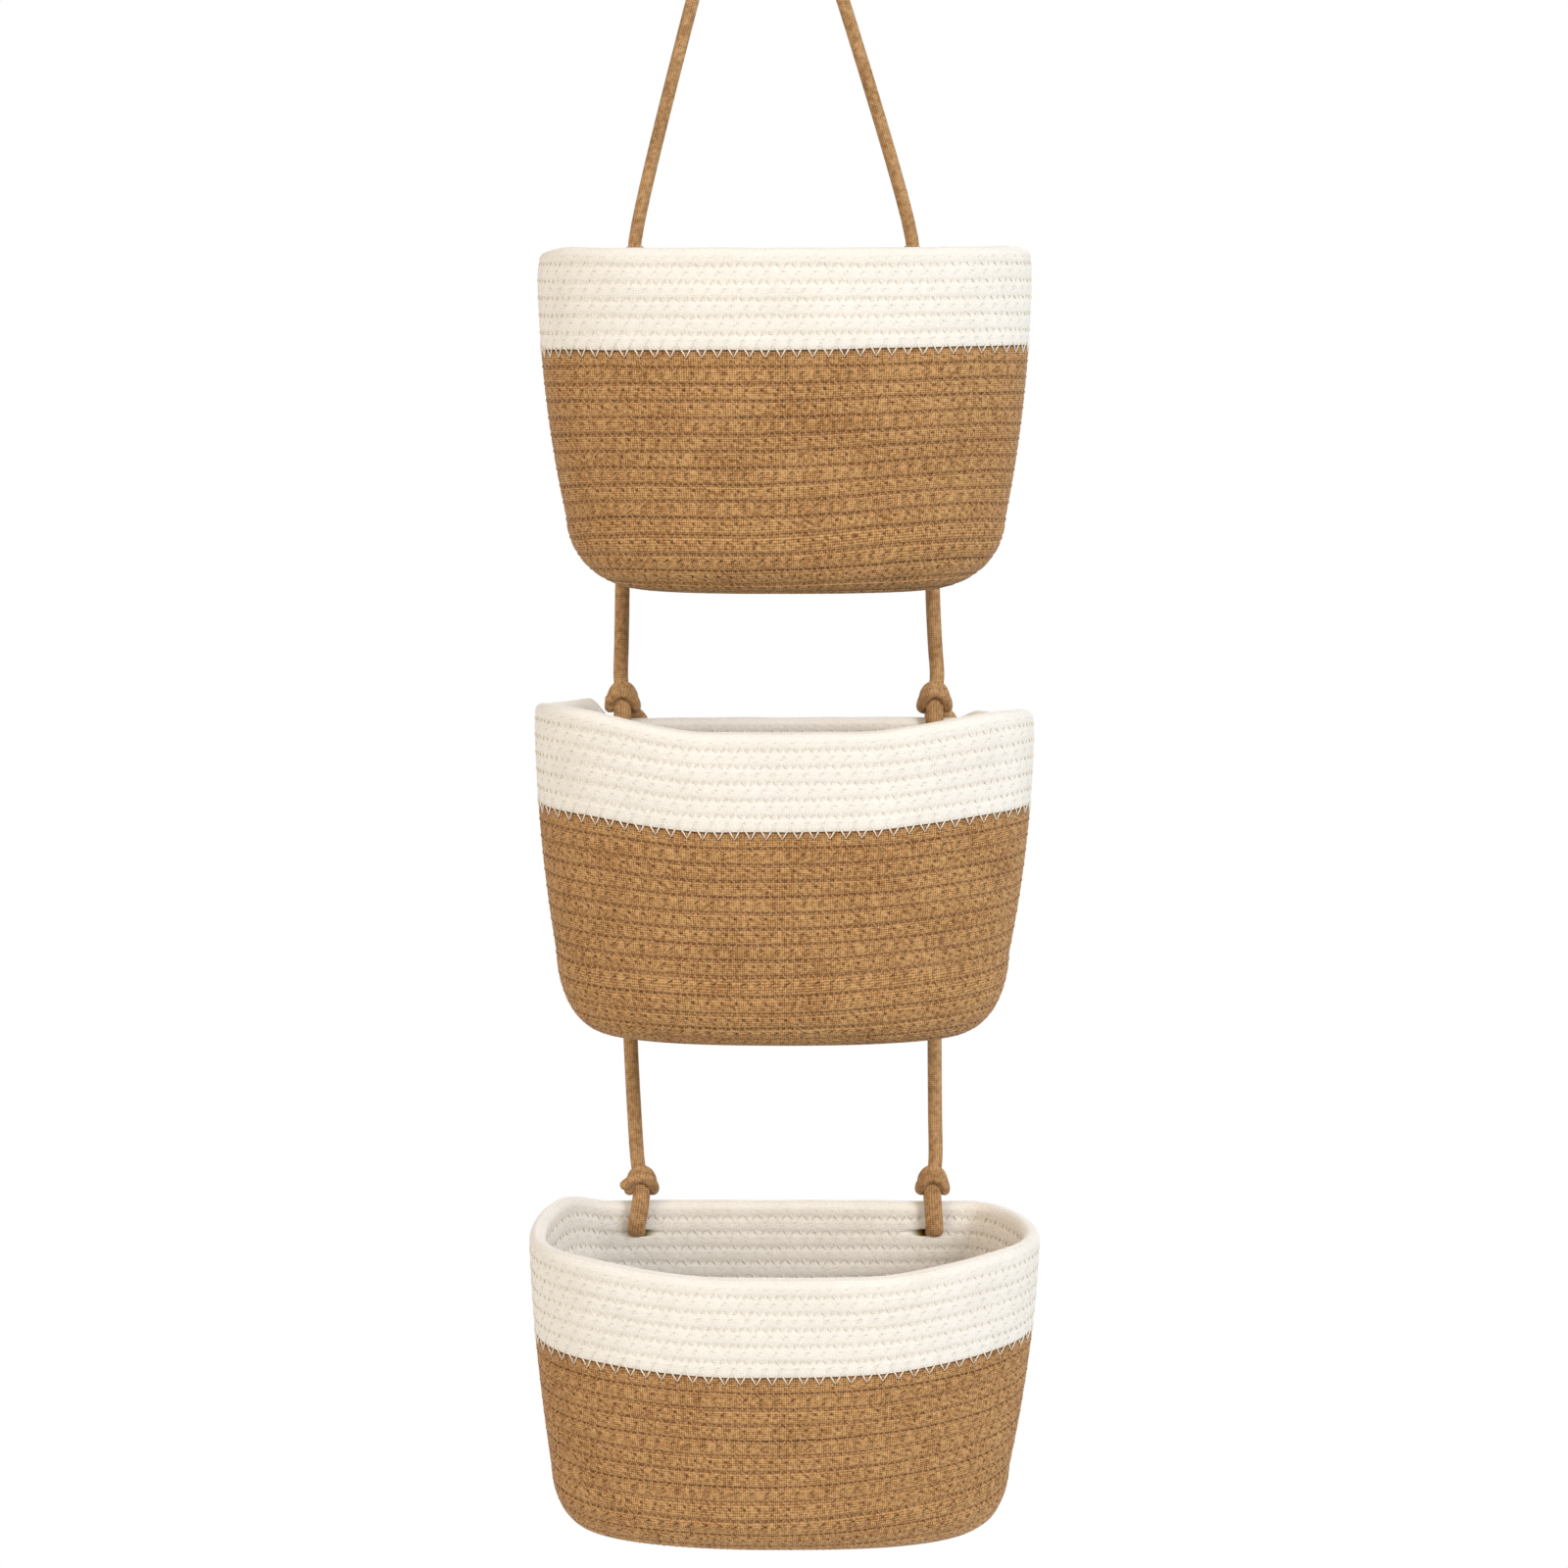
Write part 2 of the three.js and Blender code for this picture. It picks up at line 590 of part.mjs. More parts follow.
// Where the taut rope from one rim to the next leaves the back of the basket between them
function bendPlace(above, below, side) {
  const share = (rimSwing(above) - baseSwing(above)) / (rimSwing(above) - rimSwing(below));
  const across = THREE.MathUtils.lerp(above.loops[side], below.loops[side], share);
  return new THREE.Vector3(BASKET_OFFSET + across, RUN_PLACE, baseSwing(above));
}

// Back run: the rope from its collar down behind the basket. It keeps beside the loop's back
// leg, on the side that it is drawn to, and then leans over to the bend under the basket.
function backRun(above, below, side) {
  const across = above.loops[side];
  const clearOfLeg = PRESSED_ROPE_WIDTH / 2 + SEAT_CLEARANCE + ROPE_RADIUS;
  const beside = Math.sign(below.loops[side] - across) * clearOfLeg;
  const top = new THREE.Vector3(BASKET_OFFSET + across + beside, RUN_PLACE, collarHeight(above));
  const bottom = bendPlace(above, below, side);
  bottom.z += ROPE_END;
  const places = Array.from({ length: RUN_STEPS + 1 }, (_, step) => {
    const place = top.clone().lerp(bottom, step / RUN_STEPS);
    const lean = THREE.MathUtils.smoothstep(step / RUN_STEPS, RUN_START_SHARE, RUN_END_SHARE);
    return place.setX(THREE.MathUtils.lerp(top.x, bottom.x, lean));
  });
  return sweptRope(places, ROPE_RADIUS, ROPE_RADIUS, ROPE_SIDES);
}

// Dropper: the free stretch from the bend under one basket to the knot over the next rim
function dropper(above, below, side) {
  const start = bendPlace(above, below, side);
  const end = new THREE.Vector3(BASKET_OFFSET + below.loops[side], 0, rimSwing(below));
  const rope = new THREE.CapsuleGeometry(ROPE_RADIUS, start.distanceTo(end), ROPE_SIDES / 2, ROPE_SIDES);
  return between(rope, start, end);
}

function addBasket(tier) {
  const creamBand = wallBand(tier, courseSection(0, CREAM_COURSES, true, false));
  const slits = Object.values(tier.loops).map((across) => slit(tier, across));
  addPiece(`${tier.name}_cream_band`, cut(creamBand, slits), CREAM_ROPE);
  const tanSection = courseSection(CREAM_COURSES, tier.courses, false, true);
  addPiece(`${tier.name}_tan_wall`, wallBand(tier, tanSection), TAN_ROPE);
  addPiece(`${tier.name}_base`, basePlate(tier), TAN_ROPE);
  for (const [side, across] of Object.entries(tier.loops)) {
    addPiece(`${tier.name}_${side}_rim_loop`, rimLoop(tier, across), HANGING_CORD);
  }
}

// The rope from one basket's back to the next basket's rim, left and right
function addRopes(above, below) {
  for (const side of Object.keys(above.loops)) {
    addPiece(`${above.name}_${side}_back_run`, backRun(above, below, side), HANGING_CORD);
    addPiece(`${below.name}_${side}_dropper`, dropper(above, below, side), HANGING_CORD);
  }
}

addPiece('hanger', hanger(TIERS[0]), HANGING_CORD);
TIERS.forEach(addBasket);
TIERS.slice(1).forEach((below, index) => addRopes(TIERS[index], below));

export default object;
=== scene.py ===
# Three-tier wall basket: baskets of sewn rope coils hung one below the other on two ropes.
# Metres, +Z up, the fronts face -Y, and the origin is where the hanger bears on its hook.
import json
import math

import bpy
import numpy as np
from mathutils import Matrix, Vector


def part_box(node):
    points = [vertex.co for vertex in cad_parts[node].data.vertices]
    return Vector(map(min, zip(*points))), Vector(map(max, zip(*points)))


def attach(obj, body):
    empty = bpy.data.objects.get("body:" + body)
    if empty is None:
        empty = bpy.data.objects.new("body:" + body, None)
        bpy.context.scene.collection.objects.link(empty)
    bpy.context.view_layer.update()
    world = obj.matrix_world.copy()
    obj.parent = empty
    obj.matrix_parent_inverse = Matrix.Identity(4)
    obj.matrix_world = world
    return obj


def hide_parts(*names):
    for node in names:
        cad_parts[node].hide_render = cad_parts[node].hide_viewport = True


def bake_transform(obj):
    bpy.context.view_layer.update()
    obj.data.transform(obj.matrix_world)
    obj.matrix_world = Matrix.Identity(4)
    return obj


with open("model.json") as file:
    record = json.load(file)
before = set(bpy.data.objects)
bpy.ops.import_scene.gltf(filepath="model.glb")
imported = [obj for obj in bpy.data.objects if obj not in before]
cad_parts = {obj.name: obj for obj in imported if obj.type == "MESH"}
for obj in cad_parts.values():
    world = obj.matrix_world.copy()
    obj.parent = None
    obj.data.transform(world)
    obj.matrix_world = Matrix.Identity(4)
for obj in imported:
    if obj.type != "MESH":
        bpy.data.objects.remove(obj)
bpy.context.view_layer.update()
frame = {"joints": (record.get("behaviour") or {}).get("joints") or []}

MM = 0.001

# Ropes. The hanger and the rope pressed over the rims are as thick as the solids; the ropes
# behind and between the baskets are 1 mm thicker, as they look in the photograph.
ROPE_RADIUS = 3.5 * MM
DROPPER_RADIUS = 4 * MM
PRESSED_WIDTH = 10 * MM
PRESSED_THICKNESS = 5.2 * MM
LOOP_CLEARANCE = 0.9 * MM
LOOP_RISE = 1.2 * MM
SEAT_CLEARANCE = 0.4 * MM
BIGHT_RADIUS = 14 * MM

# Coiled wall and base. A groove is half of the thickness that is left at a seam.
COURSE = 8.8 * MM
HALF_COURSE = COURSE / 2
TAN_GROOVE = 2.5 * MM
CREAM_GROOVE = 3.75 * MM
BULGE_SQUARENESS = 4.5
BULGE_ROUNDING = 1 / 3
SEWING_GAP = 0.15 * MM
CREAM_COURSES = 6
BACK_DEPTH = 61 * MM
CORNER_WIDTH = 32 * MM
FRONT_FULLNESS = 2.4
FRONT_TURN_WIDTH = 24 * MM
BACK_TURN_WIDTH = 14 * MM
BACK_TURN_HEIGHT = 20 * MM

# Where a rim dips, lifts, droops and is drawn in, and where the courses slant: shares of the
# half width, of the back's depth (BEHIND and REARWARD), or of the wall's courses
DIP_START_SHARE = 0.74
LIFT_SHARES = (0.3, 0.9)
DROOP_SHARE = 0.86
DRAWN_IN_COURSES = 2.5
BEHIND_SHARES = (0.6, 0.92)
REARWARD_SHARES = (-0.5, 0.92)
SHIFT_COURSES_SHARE = 0.7
SKEW_SHARES = (-0.6, 0.6)

# The slits that the rim loops go through, in the seam under the second course; SLIT_SHADE is how dark
# their painted shade is
SLIT_SEAM = 2
SLIT_REACH = 7.5 * MM
SLIT_DEPTH = 3 * MM
SLIT_OPENING_SHARE = 0.17
SLIT_SPREAD_SHARE = 0.25
SLIT_LIP_SHARE = 0.06
SLIT_SHADE = 5
NEAR_SLIT = 0.1

# Hand-sewn unevenness of the courses: waves round the basket with their sizes, and the phases
# by which waves, tiers and seams differ
WOBBLE = ((3, 0.26 * MM), (7, 0.16 * MM), (16, 0.09 * MM))
WAVE_PHASE = 2.4
TIER_PHASE = 17
SEAM_PHASE = 2.1

# Depth of the painted shade in the seams: its mean, its spread between seams, and waves along a seam,
# each with its count round the basket, its size and its phase per seam
SHADE_MEAN = 0.75
SHADE_SPREAD = 0.25
SHADE_SEAM_PHASE = 2.4
SHADE_TIER_PHASE = 30
SHADE_WAVES = ((2, 0.2, 3.7), (5, 0.2, 1.3))
# The painted seam shade reaches GROOVE_SHADE_SHARE of the swell out from a groove and weighs
# SEAM_SHADE_SHARE; under the cream band the tan gets a painted shadow of its lowest cream course,
# UNDER_CREAM_SHADE deep and UNDER_CREAM_SHARE of a course tall
GROOVE_SHADE_SHARE = 0.8
SEAM_SHADE_SHARE = 0.3
UNDER_CREAM_SHADE = 0.5
UNDER_CREAM_SHARE = 0.5

# Stitches. A reach is the share of a course between its seam and the needle holes. Each seam's
# stitches are shifted by STITCH_SHIFT against the last one's, so they never line up.
WHITE_REACH_SHARE = 0.43
TAN_REACH_SHARE = 0.33
STITCH_SHIFT = 0.618
LEAST_STITCHES = 8
BASE_THINNING = 0.3
CENTRE_THINNING = 0.75
WHITE_THREAD_RADIUS = 0.32 * MM
JOINING_THREAD_RADIUS = 0.4 * MM
TAN_THREAD_RADIUS = 0.3 * MM
NEEDLE_SINK = 1.1 * MM
JOINING_SINK = 0.3 * MM
THREAD_LIFT = 0.05 * MM

# Needle holes: the dimple of each, and how dark the painted shade is in it and slanting from it across
# the rope between two holes
HOLE_SHARE = 0.1
TAN_DIMPLE = 1.3 * MM
CREAM_DIMPLE = 0.6 * MM
CREAM_HOLE_SHADE = 1.2
UPPER_HOLE_SHARE = 0.5
SLANT_SHARE = 0.35

# Knots over the rims
KNOT_ROPE_RADIUS = 3.1 * MM
TAIL_RADIUS = 2.8 * MM
LOOP_NARROWING = 0.06
LOOP_THICKENING = 0.1

# The tiers, in millimetres, apart from the unscaled values. rim and base are levels, a pair is
# left and right, and collar_rise is from the dipped back rim to the knot. From courses on, the
# values are the scene's own: one course more than in the source of the solids, how far the
# courses slant up to the right, and small shifts that the photograph shows.
TIERS = {
    "upper": dict(
        rim=-217, base=-387.2, front_depth=62, side_taper=(13.4, 12), front_taper=8,
        bow_share=2.2, side_turn_width=35, turn_height=32, back_dip=20, side_lift=(0.5, 1.2),
        corner_lift=(0, 0), collar_rise=10, loops=(-79, 67.4), leans=(0, 0),
        courses=22, skew=3.2, stitch_pitch=7.8, dip_end_share=0.95,
        end_droop=(4, 2.2), end_drawn_in=(2.4, 1.4), slit_shift=(0, 0),
        bend_shift=(0, 0), entry_shift=(0, 0), tail_shares=(1, 1)),
    "middle": dict(
        rim=-457.5, base=-624.8, front_depth=64, side_taper=(9.8, 11.6), front_taper=8,
        bow_share=2.1, side_turn_width=23, turn_height=40, back_dip=13, side_lift=(8.5, 6.5),
        corner_lift=(-1.5, -8), collar_rise=10.5, loops=(-88, 81.5), leans=(0.5, -0.5),
        courses=21, skew=2, stitch_pitch=8.1, dip_end_share=0.84,
        end_droop=(1, 2), end_drawn_in=(0.8, 1.2), slit_shift=(0, -1.5),
        bend_shift=(-2.1, 2), entry_shift=(-0.9, 1.3), tail_shares=(1, 1)),
    "lower": dict(
        rim=-745.2, base=-904.7, front_depth=67, side_taper=(10, 14.5), front_taper=9,
        bow_share=1.7, side_turn_width=19, turn_height=32, back_dip=0, side_lift=(4.5, 6),
        corner_lift=(7, 0.5), collar_rise=11.7, loops=(-80, 82.8), leans=(-3, 1.2),
        courses=19, skew=3.6, stitch_pitch=8.4, dip_end_share=0.95,
        end_droop=(0, 0), end_drawn_in=(0, 0), slit_shift=(0, -4.5),
        bend_shift=(-3.7, 1.2), entry_shift=(-2.2, 1.6), tail_shares=(1.3, 1)),
}
UNSCALED = {"bow_share", "courses", "skew", "dip_end_share", "tail_shares"}
SIDES = ("left", "right")

for tier_name, tier in TIERS.items():
    for key in set(tier) - UNSCALED:
        tier[key] = np.multiply(tier[key], MM)
    low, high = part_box(f"{tier_name}_cream_band")
    tier["name"] = tier_name
    tier["body"] = f"{tier_name}_basket"
    tier["middle"] = (low[0] + high[0]) / 2
    tier["half_width"] = (high[0] - low[0]) / 2 - HALF_COURSE
    tier["wall_y"] = high[1] - HALF_COURSE
    tier["collar"] = tier["rim"] - tier["back_dip"] + tier["collar_rise"]
HINGES = {joint["name"]: joint["pos_m"] for joint in frame["joints"]}


# Camera, at the photograph's viewing angle

CAMERA_PLACE = (0.0107, -1.657, -0.1991)
CAMERA_DOWN_DEGREES = 10.53
SENSOR_WIDTH_MM = 36
FOCAL_LENGTH_MM = 70.8


def placed(name, data):
    """A new object in the scene."""
    thing = bpy.data.objects.new(name, data)
    bpy.context.scene.collection.objects.link(thing)
    return thing


def add_camera():
    camera = placed("camera", bpy.data.cameras.new("camera"))
    camera.data.sensor_width = SENSOR_WIDTH_MM
    camera.data.lens = FOCAL_LENGTH_MM
    camera.location = CAMERA_PLACE
    camera.rotation_euler = (math.radians(90 - CAMERA_DOWN_DEGREES), 0, 0)
    bpy.context.scene.camera = camera


add_camera()


# Materials. tone runs from a rope's shade, 0, to its colour, 1.

MEAN_TONE = 0.55
NOISE_MEAN = 0.5
DYE_CONTRAST = 0.8
DYE_PATCH = 22 * MM
STRAND_HEIGHT_SHARE = 0.2
BRAID_DEPTH = 0.35 * MM
THREAD_TWIST = 0.6 * MM
TWIST_SHADE = 0.8


def linear(hex_colour):
    """An sRGB hex colour as the linear values that the shaders take."""
    values = [int(hex_colour[start:start + 2], 16) / 255 for start in (0, 2, 4)]
    return [v / 12.92 if v <= 0.04045 else ((v + 0.055) / 1.055) ** 2.4 for v in values] + [1]


def add_node(tree, kind, inputs=(), **settings):
    """Adds a node and gives its outputs; inputs are (socket, value or output socket) pairs."""
    node = tree.nodes.new(kind)
    for name, value in settings.items():
        setattr(node, name, value)
    for socket, value in inputs:
        if isinstance(value, bpy.types.NodeSocket):
            tree.links.new(value, node.inputs[socket])
        else:
            node.inputs[socket].default_value = value
    return node.outputs


def empty_material(name):
    material = bpy.data.materials.new(name)
    material.use_nodes = True
    material.node_tree.nodes.clear()
    return material


def cotton_rope(name, colour, shade, painted_shade, strand, grain, speckle, sheen):
    """Braided cotton rope: matt strands that cross at a slant, paler where the fibre tips are worn,
    with a slow unevenness of the dye, and painted shade in the seams, needle holes and slits."""
    material = empty_material(name)
    tree = material.node_tree
    rope = add_node(tree, "ShaderNodeUVMap", uv_map="rope")[0]
    parts = add_node(tree, "ShaderNodeSeparateXYZ", [(0, rope)])
    crossing = []
    for slant in ("ADD", "SUBTRACT"):
        way = add_node(tree, "ShaderNodeMath", [(0, parts[0]), (1, parts[1])], operation=slant)[0]
        turns = add_node(tree, "ShaderNodeMath", [
            (0, way), (1, 2 * math.pi / strand)], operation="MULTIPLY")[0]
        crossing.append(add_node(tree, "ShaderNodeMath", [(0, turns)], operation="SINE")[0])
    strands = add_node(tree, "ShaderNodeMath", enumerate(crossing), operation="MULTIPLY")[0]
    place = add_node(tree, "ShaderNodeTexCoord")["Object"]
    fibre = add_node(tree, "ShaderNodeTexNoise", [
        ("Vector", place), ("Scale", 1 / grain), ("Detail", 3), ("Roughness", 0.6)])[0]
    dye = add_node(tree, "ShaderNodeTexNoise", [
        ("Vector", place), ("Scale", 1 / DYE_PATCH), ("Detail", 2)])[0]
    height = add_node(tree, "ShaderNodeMath", [
        (0, strands), (1, STRAND_HEIGHT_SHARE), (2, fibre)], operation="MULTIPLY_ADD")[0]
    least = MEAN_TONE - NOISE_MEAN * speckle - NOISE_MEAN * DYE_CONTRAST
    tone = add_node(tree, "ShaderNodeMath", [
        (0, height), (1, speckle), (2, least)], operation="MULTIPLY_ADD")[0]
    tone = add_node(tree, "ShaderNodeMath", [
        (0, dye), (1, DYE_CONTRAST), (2, tone)], operation="MULTIPLY_ADD")[0]
    dyed = add_node(tree, "ShaderNodeMixRGB", [
        (0, tone), (1, linear(shade)), (2, linear(colour))], use_clamp=True)[0]
    # Painted shade: the colour is multiplied towards the painted shade colour as far as each point's
    # painted shade attribute says
    painted_shade_amount = add_node(tree, "ShaderNodeAttribute", attribute_name="painted_shade")["Fac"]
    with_painted_shade = add_node(tree, "ShaderNodeMix", [
        (0, painted_shade_amount), (6, dyed), (7, linear(painted_shade))],
        data_type="RGBA", blend_type="MULTIPLY", clamp_factor=False)[2]
    bump = add_node(tree, "ShaderNodeBump", [
        ("Strength", 0.5), ("Distance", BRAID_DEPTH), ("Height", height)])[0]
    shader = add_node(tree, "ShaderNodeBsdfPrincipled", [
        ("Base Color", with_painted_shade), ("Roughness", 0.88), ("IOR", 1.5), ("Specular IOR Level", 0.25),
        ("Sheen Weight", sheen), ("Sheen Roughness", 0.5), ("Normal", bump)])[0]
    add_node(tree, "ShaderNodeOutputMaterial", [("Surface", shader)])
    return material


def sewing_thread(name, colour):
    """Spun polyester sewing thread: slightly glossier than the cotton round it, with a faint
    light and dark from its twist."""
    material = empty_material(name)
    tree = material.node_tree
    place = add_node(tree, "ShaderNodeTexCoord")["Object"]
    twist = add_node(tree, "ShaderNodeTexNoise", [
        ("Vector", place), ("Scale", 1 / THREAD_TWIST)])[0]
    dull = [value * TWIST_SHADE for value in linear(colour)[:3]] + [1]
    dyed = add_node(tree, "ShaderNodeMixRGB", [
        (0, twist), (1, dull), (2, linear(colour))])[0]
    shader = add_node(tree, "ShaderNodeBsdfPrincipled", [
        ("Base Color", dyed), ("Roughness", 0.6), ("IOR", 1.5), ("Sheen Weight", 0.2)])[0]
    add_node(tree, "ShaderNodeOutputMaterial", [("Surface", shader)])
    return material


# The patterns of all ropes are coarser than real, where they would be too fine to show: strands
# of about 1.2 mm are drawn at 2.2 to 2.4 mm, and yarns of about 0.5 mm as a 1.4 to 2.6 mm grain.

# Undyed cotton, braided, pressed flat by the sewing machine: nearly white and evenly matt, with
# a painted warm grey shade only in the seams
UNDYED_ROPE = cotton_rope(
    "undyed_braided_cotton_rope", colour="F3EFE7", shade="E0DCD2", painted_shade="E8E7E2", strand=2.4 * MM,
    grain=1.4 * MM, speckle=1.6, sheen=0.2)
# The same rope, dyed before it was sewn: speckled, because the dye stays in the hollows of the
# braid and wears off its tips
# Its painted shade, in the seams, needle holes and under the cream band, is dark brown
TAN_ROPE = cotton_rope(
    "tan_dyed_braided_cotton_rope", colour="C79D68", shade="86592E", painted_shade="6E4E2C", strand=2.4 * MM,
    grain=1.8 * MM, speckle=4.0, sheen=0.1)
# A rounder, finely braided cotton cord in the same dye: smoother, and less speckled
HANGING_ROPE = cotton_rope(
    "tan_fine_braided_cotton_cord", colour="C49D6F", shade="876138", painted_shade="8A7360", strand=2.2 * MM,
    grain=2.6 * MM, speckle=2.4, sheen=0.1)
# Polyester thread, spun and bleached: brighter than the rope. Its twist of about 0.3 mm is drawn
# at 0.6 mm, as it is on the tan thread.
WHITE_THREAD = sewing_thread("white_polyester_sewing_thread", "F8F0E0")
# The same thread, dyed to go with the tan rope: a little lighter than the rope
TAN_THREAD = sewing_thread("tan_polyester_sewing_thread", "BE9462")


# Meshes

def add_piece(name, points, faces, material, corner_uvs, painted_shade=None):
    """A smooth piece, with the place of each corner on the rope, along it and round it, and how
    deep the painted shade at each point is."""
    points = np.asarray(points).reshape(-1, 3)
    mesh = bpy.data.meshes.new(name)
    mesh.from_pydata(points.tolist(), [], faces)
    layer = mesh.uv_layers.new(name="rope")
    layer.data.foreach_set("uv", np.asarray(corner_uvs, np.float32).ravel())
    if painted_shade is not None:
        attribute = mesh.attributes.new("painted_shade", "FLOAT", "POINT")
        attribute.data.foreach_set("value", np.asarray(painted_shade, np.float32).ravel())
    mesh.materials.append(material)
    mesh.polygons.foreach_set("use_smooth", np.ones(len(mesh.polygons), bool))
    mesh.validate()
    piece = placed(name, mesh)
    return piece


def closed_grid(rows, columns):
    """Quads of a grid that closes on itself both ways, and each corner's row and column."""
    row, column = np.meshgrid(np.arange(rows), np.arange(columns), indexing="ij")
    corner_rows = np.stack([row, row, row + 1, row + 1], -1).reshape(-1, 4)
    corner_columns = np.stack([column, column + 1, column + 1, column], -1).reshape(-1, 4)
    faces = (corner_rows % rows) * columns + corner_columns % columns
    return faces.tolist(), corner_rows, corner_columns


# Surface of a basket. q is the place round the plan: 0 to 1 round the front from the right
# side, 1 to 2 the left corner, 2 to 3 the back, 3 to 4 the right corner.

PLAN_SAMPLES = 4001
PLAN_STEP = 0.004


def plan_place(q, half_width, front_depth, back_depth):
    q = np.mod(q, 4)
    part = np.floor(q).astype(int)
    step = q - part
    flat = half_width - CORNER_WIDTH
    power = 2 / FRONT_FULLNESS
    across, forward = np.cos(math.pi * step), np.sin(math.pi * step)
    corner = np.where(part == 1, step, 1 - step) * math.pi / 2
    side = np.where(part == 1, -1, 1)
    x = np.select([part == 0, part == 2], [
        half_width * np.sign(across) * np.abs(across) ** power,
        flat * (2 * step - 1)], side * (flat + CORNER_WIDTH * np.cos(corner)))
    y = np.select([part == 0, part == 2], [
        -front_depth * np.abs(forward) ** power,
        back_depth + 0 * step], back_depth * np.sin(corner))
    return x, y


def side_taper_at(tier, normal):
    """How far a side is drawn in above the turned-in bottom; the two sides differ."""
    left, right = tier["side_taper"]
    return (left + right) / 2 + (right - left) / 2 * normal[0]


def plan_at(tier, q, share, normal=(0, 0)):
    """Plan of a tier, from its rim's, at share 0, to its base's, at share 1."""
    return plan_place(
        q, tier["half_width"] - share * (side_taper_at(tier, normal) + tier["side_turn_width"]),
        tier["front_depth"] - share * (tier["front_taper"] + FRONT_TURN_WIDTH),
        BACK_DEPTH - share * BACK_TURN_WIDTH)


def rim_length(tier):
    """Places round the plan, and how far along the rim each of them is."""
    q = np.linspace(0, 4, PLAN_SAMPLES)
    x, y = plan_at(tier, q, 0)
    return q, np.concatenate([[0], np.cumsum(np.hypot(np.diff(x), np.diff(y)))])


def around(tier, s):
    """Place round the plan and outward direction at s, a share of the rim's length."""
    q, length = rim_length(tier)
    place = np.interp(np.mod(s, 1) * length[-1], length, q)
    x0, y0 = plan_at(tier, place - PLAN_STEP, 0)
    x1, y1 = plan_at(tier, place + PLAN_STEP, 0)
    size = np.hypot(x1 - x0, y1 - y0)
    return place, (-(y1 - y0) / size, (x1 - x0) / size)


def smoothstep(value, start, end):
    """From 0 at start to 1 at end, without a kink at either."""
    t = np.clip((value - start) / (end - start), 0, 1)
    return t * t * (3 - 2 * t)


def mixed(normal, side, front, back):
    """A measure that differs between the sides, the front and the back of a basket."""
    facing = np.where(normal[1] < 0, front, back)
    return side * normal[0] ** 2 + facing * normal[1] ** 2


def rim_shift(tier, x, y, courses):
    """How far the courses near the rim stand above their level: the back rim dips between the
    loops, and the two ends are lifted."""
    at_side, at_back = (np.where(x < 0, *tier[lift]) for lift in ("side_lift", "corner_lift"))
    across = np.abs(x) / tier["half_width"]
    behind = smoothstep(y / BACK_DEPTH, *BEHIND_SHARES)
    rearward = smoothstep(y / BACK_DEPTH, *REARWARD_SHARES)
    at_corner = smoothstep(across, DIP_START_SHARE, tier["dip_end_share"])
    at_end = smoothstep(across, *LIFT_SHARES) * (1 - behind) + at_corner * behind
    lift = (at_side * (1 - rearward) + at_back * rearward) * at_end
    dip = tier["back_dip"] * behind * (1 - at_corner)
    outermost = np.maximum(0, across - DROOP_SHARE) / (1 - DROOP_SHARE)
    droop = np.where(x < 0, *tier["end_droop"]) * outermost ** 2 * np.maximum(0, 1 - courses)
    return (lift - dip) * np.maximum(0, 1 - courses / (tier["courses"] * SHIFT_COURSES_SHARE)) - droop


def wobble(tier, s, courses):
    """Unevenness of each seam's height, from a few waves with their own phase per seam."""
    seam = np.floor(courses)
    share = courses - seam
    total = 0
    for waves, size in WOBBLE:
        seed = WAVE_PHASE * waves + TIER_PHASE * tier["rim"]
        here = np.sin(2 * math.pi * waves * s + seed + SEAM_PHASE * seam * waves)
        below = np.sin(2 * math.pi * waves * s + seed + SEAM_PHASE * (seam + 1) * waves)
        total = total + size * ((1 - share) * here + share * below)
    return total


def base_depths(tier):
    """Half the depth of a base, and how far its middle line lies from the rim's plan origin."""
    front = float(plan_at(tier, np.array(0.5), 1)[1])
    return (BACK_DEPTH - BACK_TURN_WIDTH - front) / 2, (BACK_DEPTH - BACK_TURN_WIDTH + front) / 2


def base_turns(tier):
    return round(base_depths(tier)[0] / COURSE)


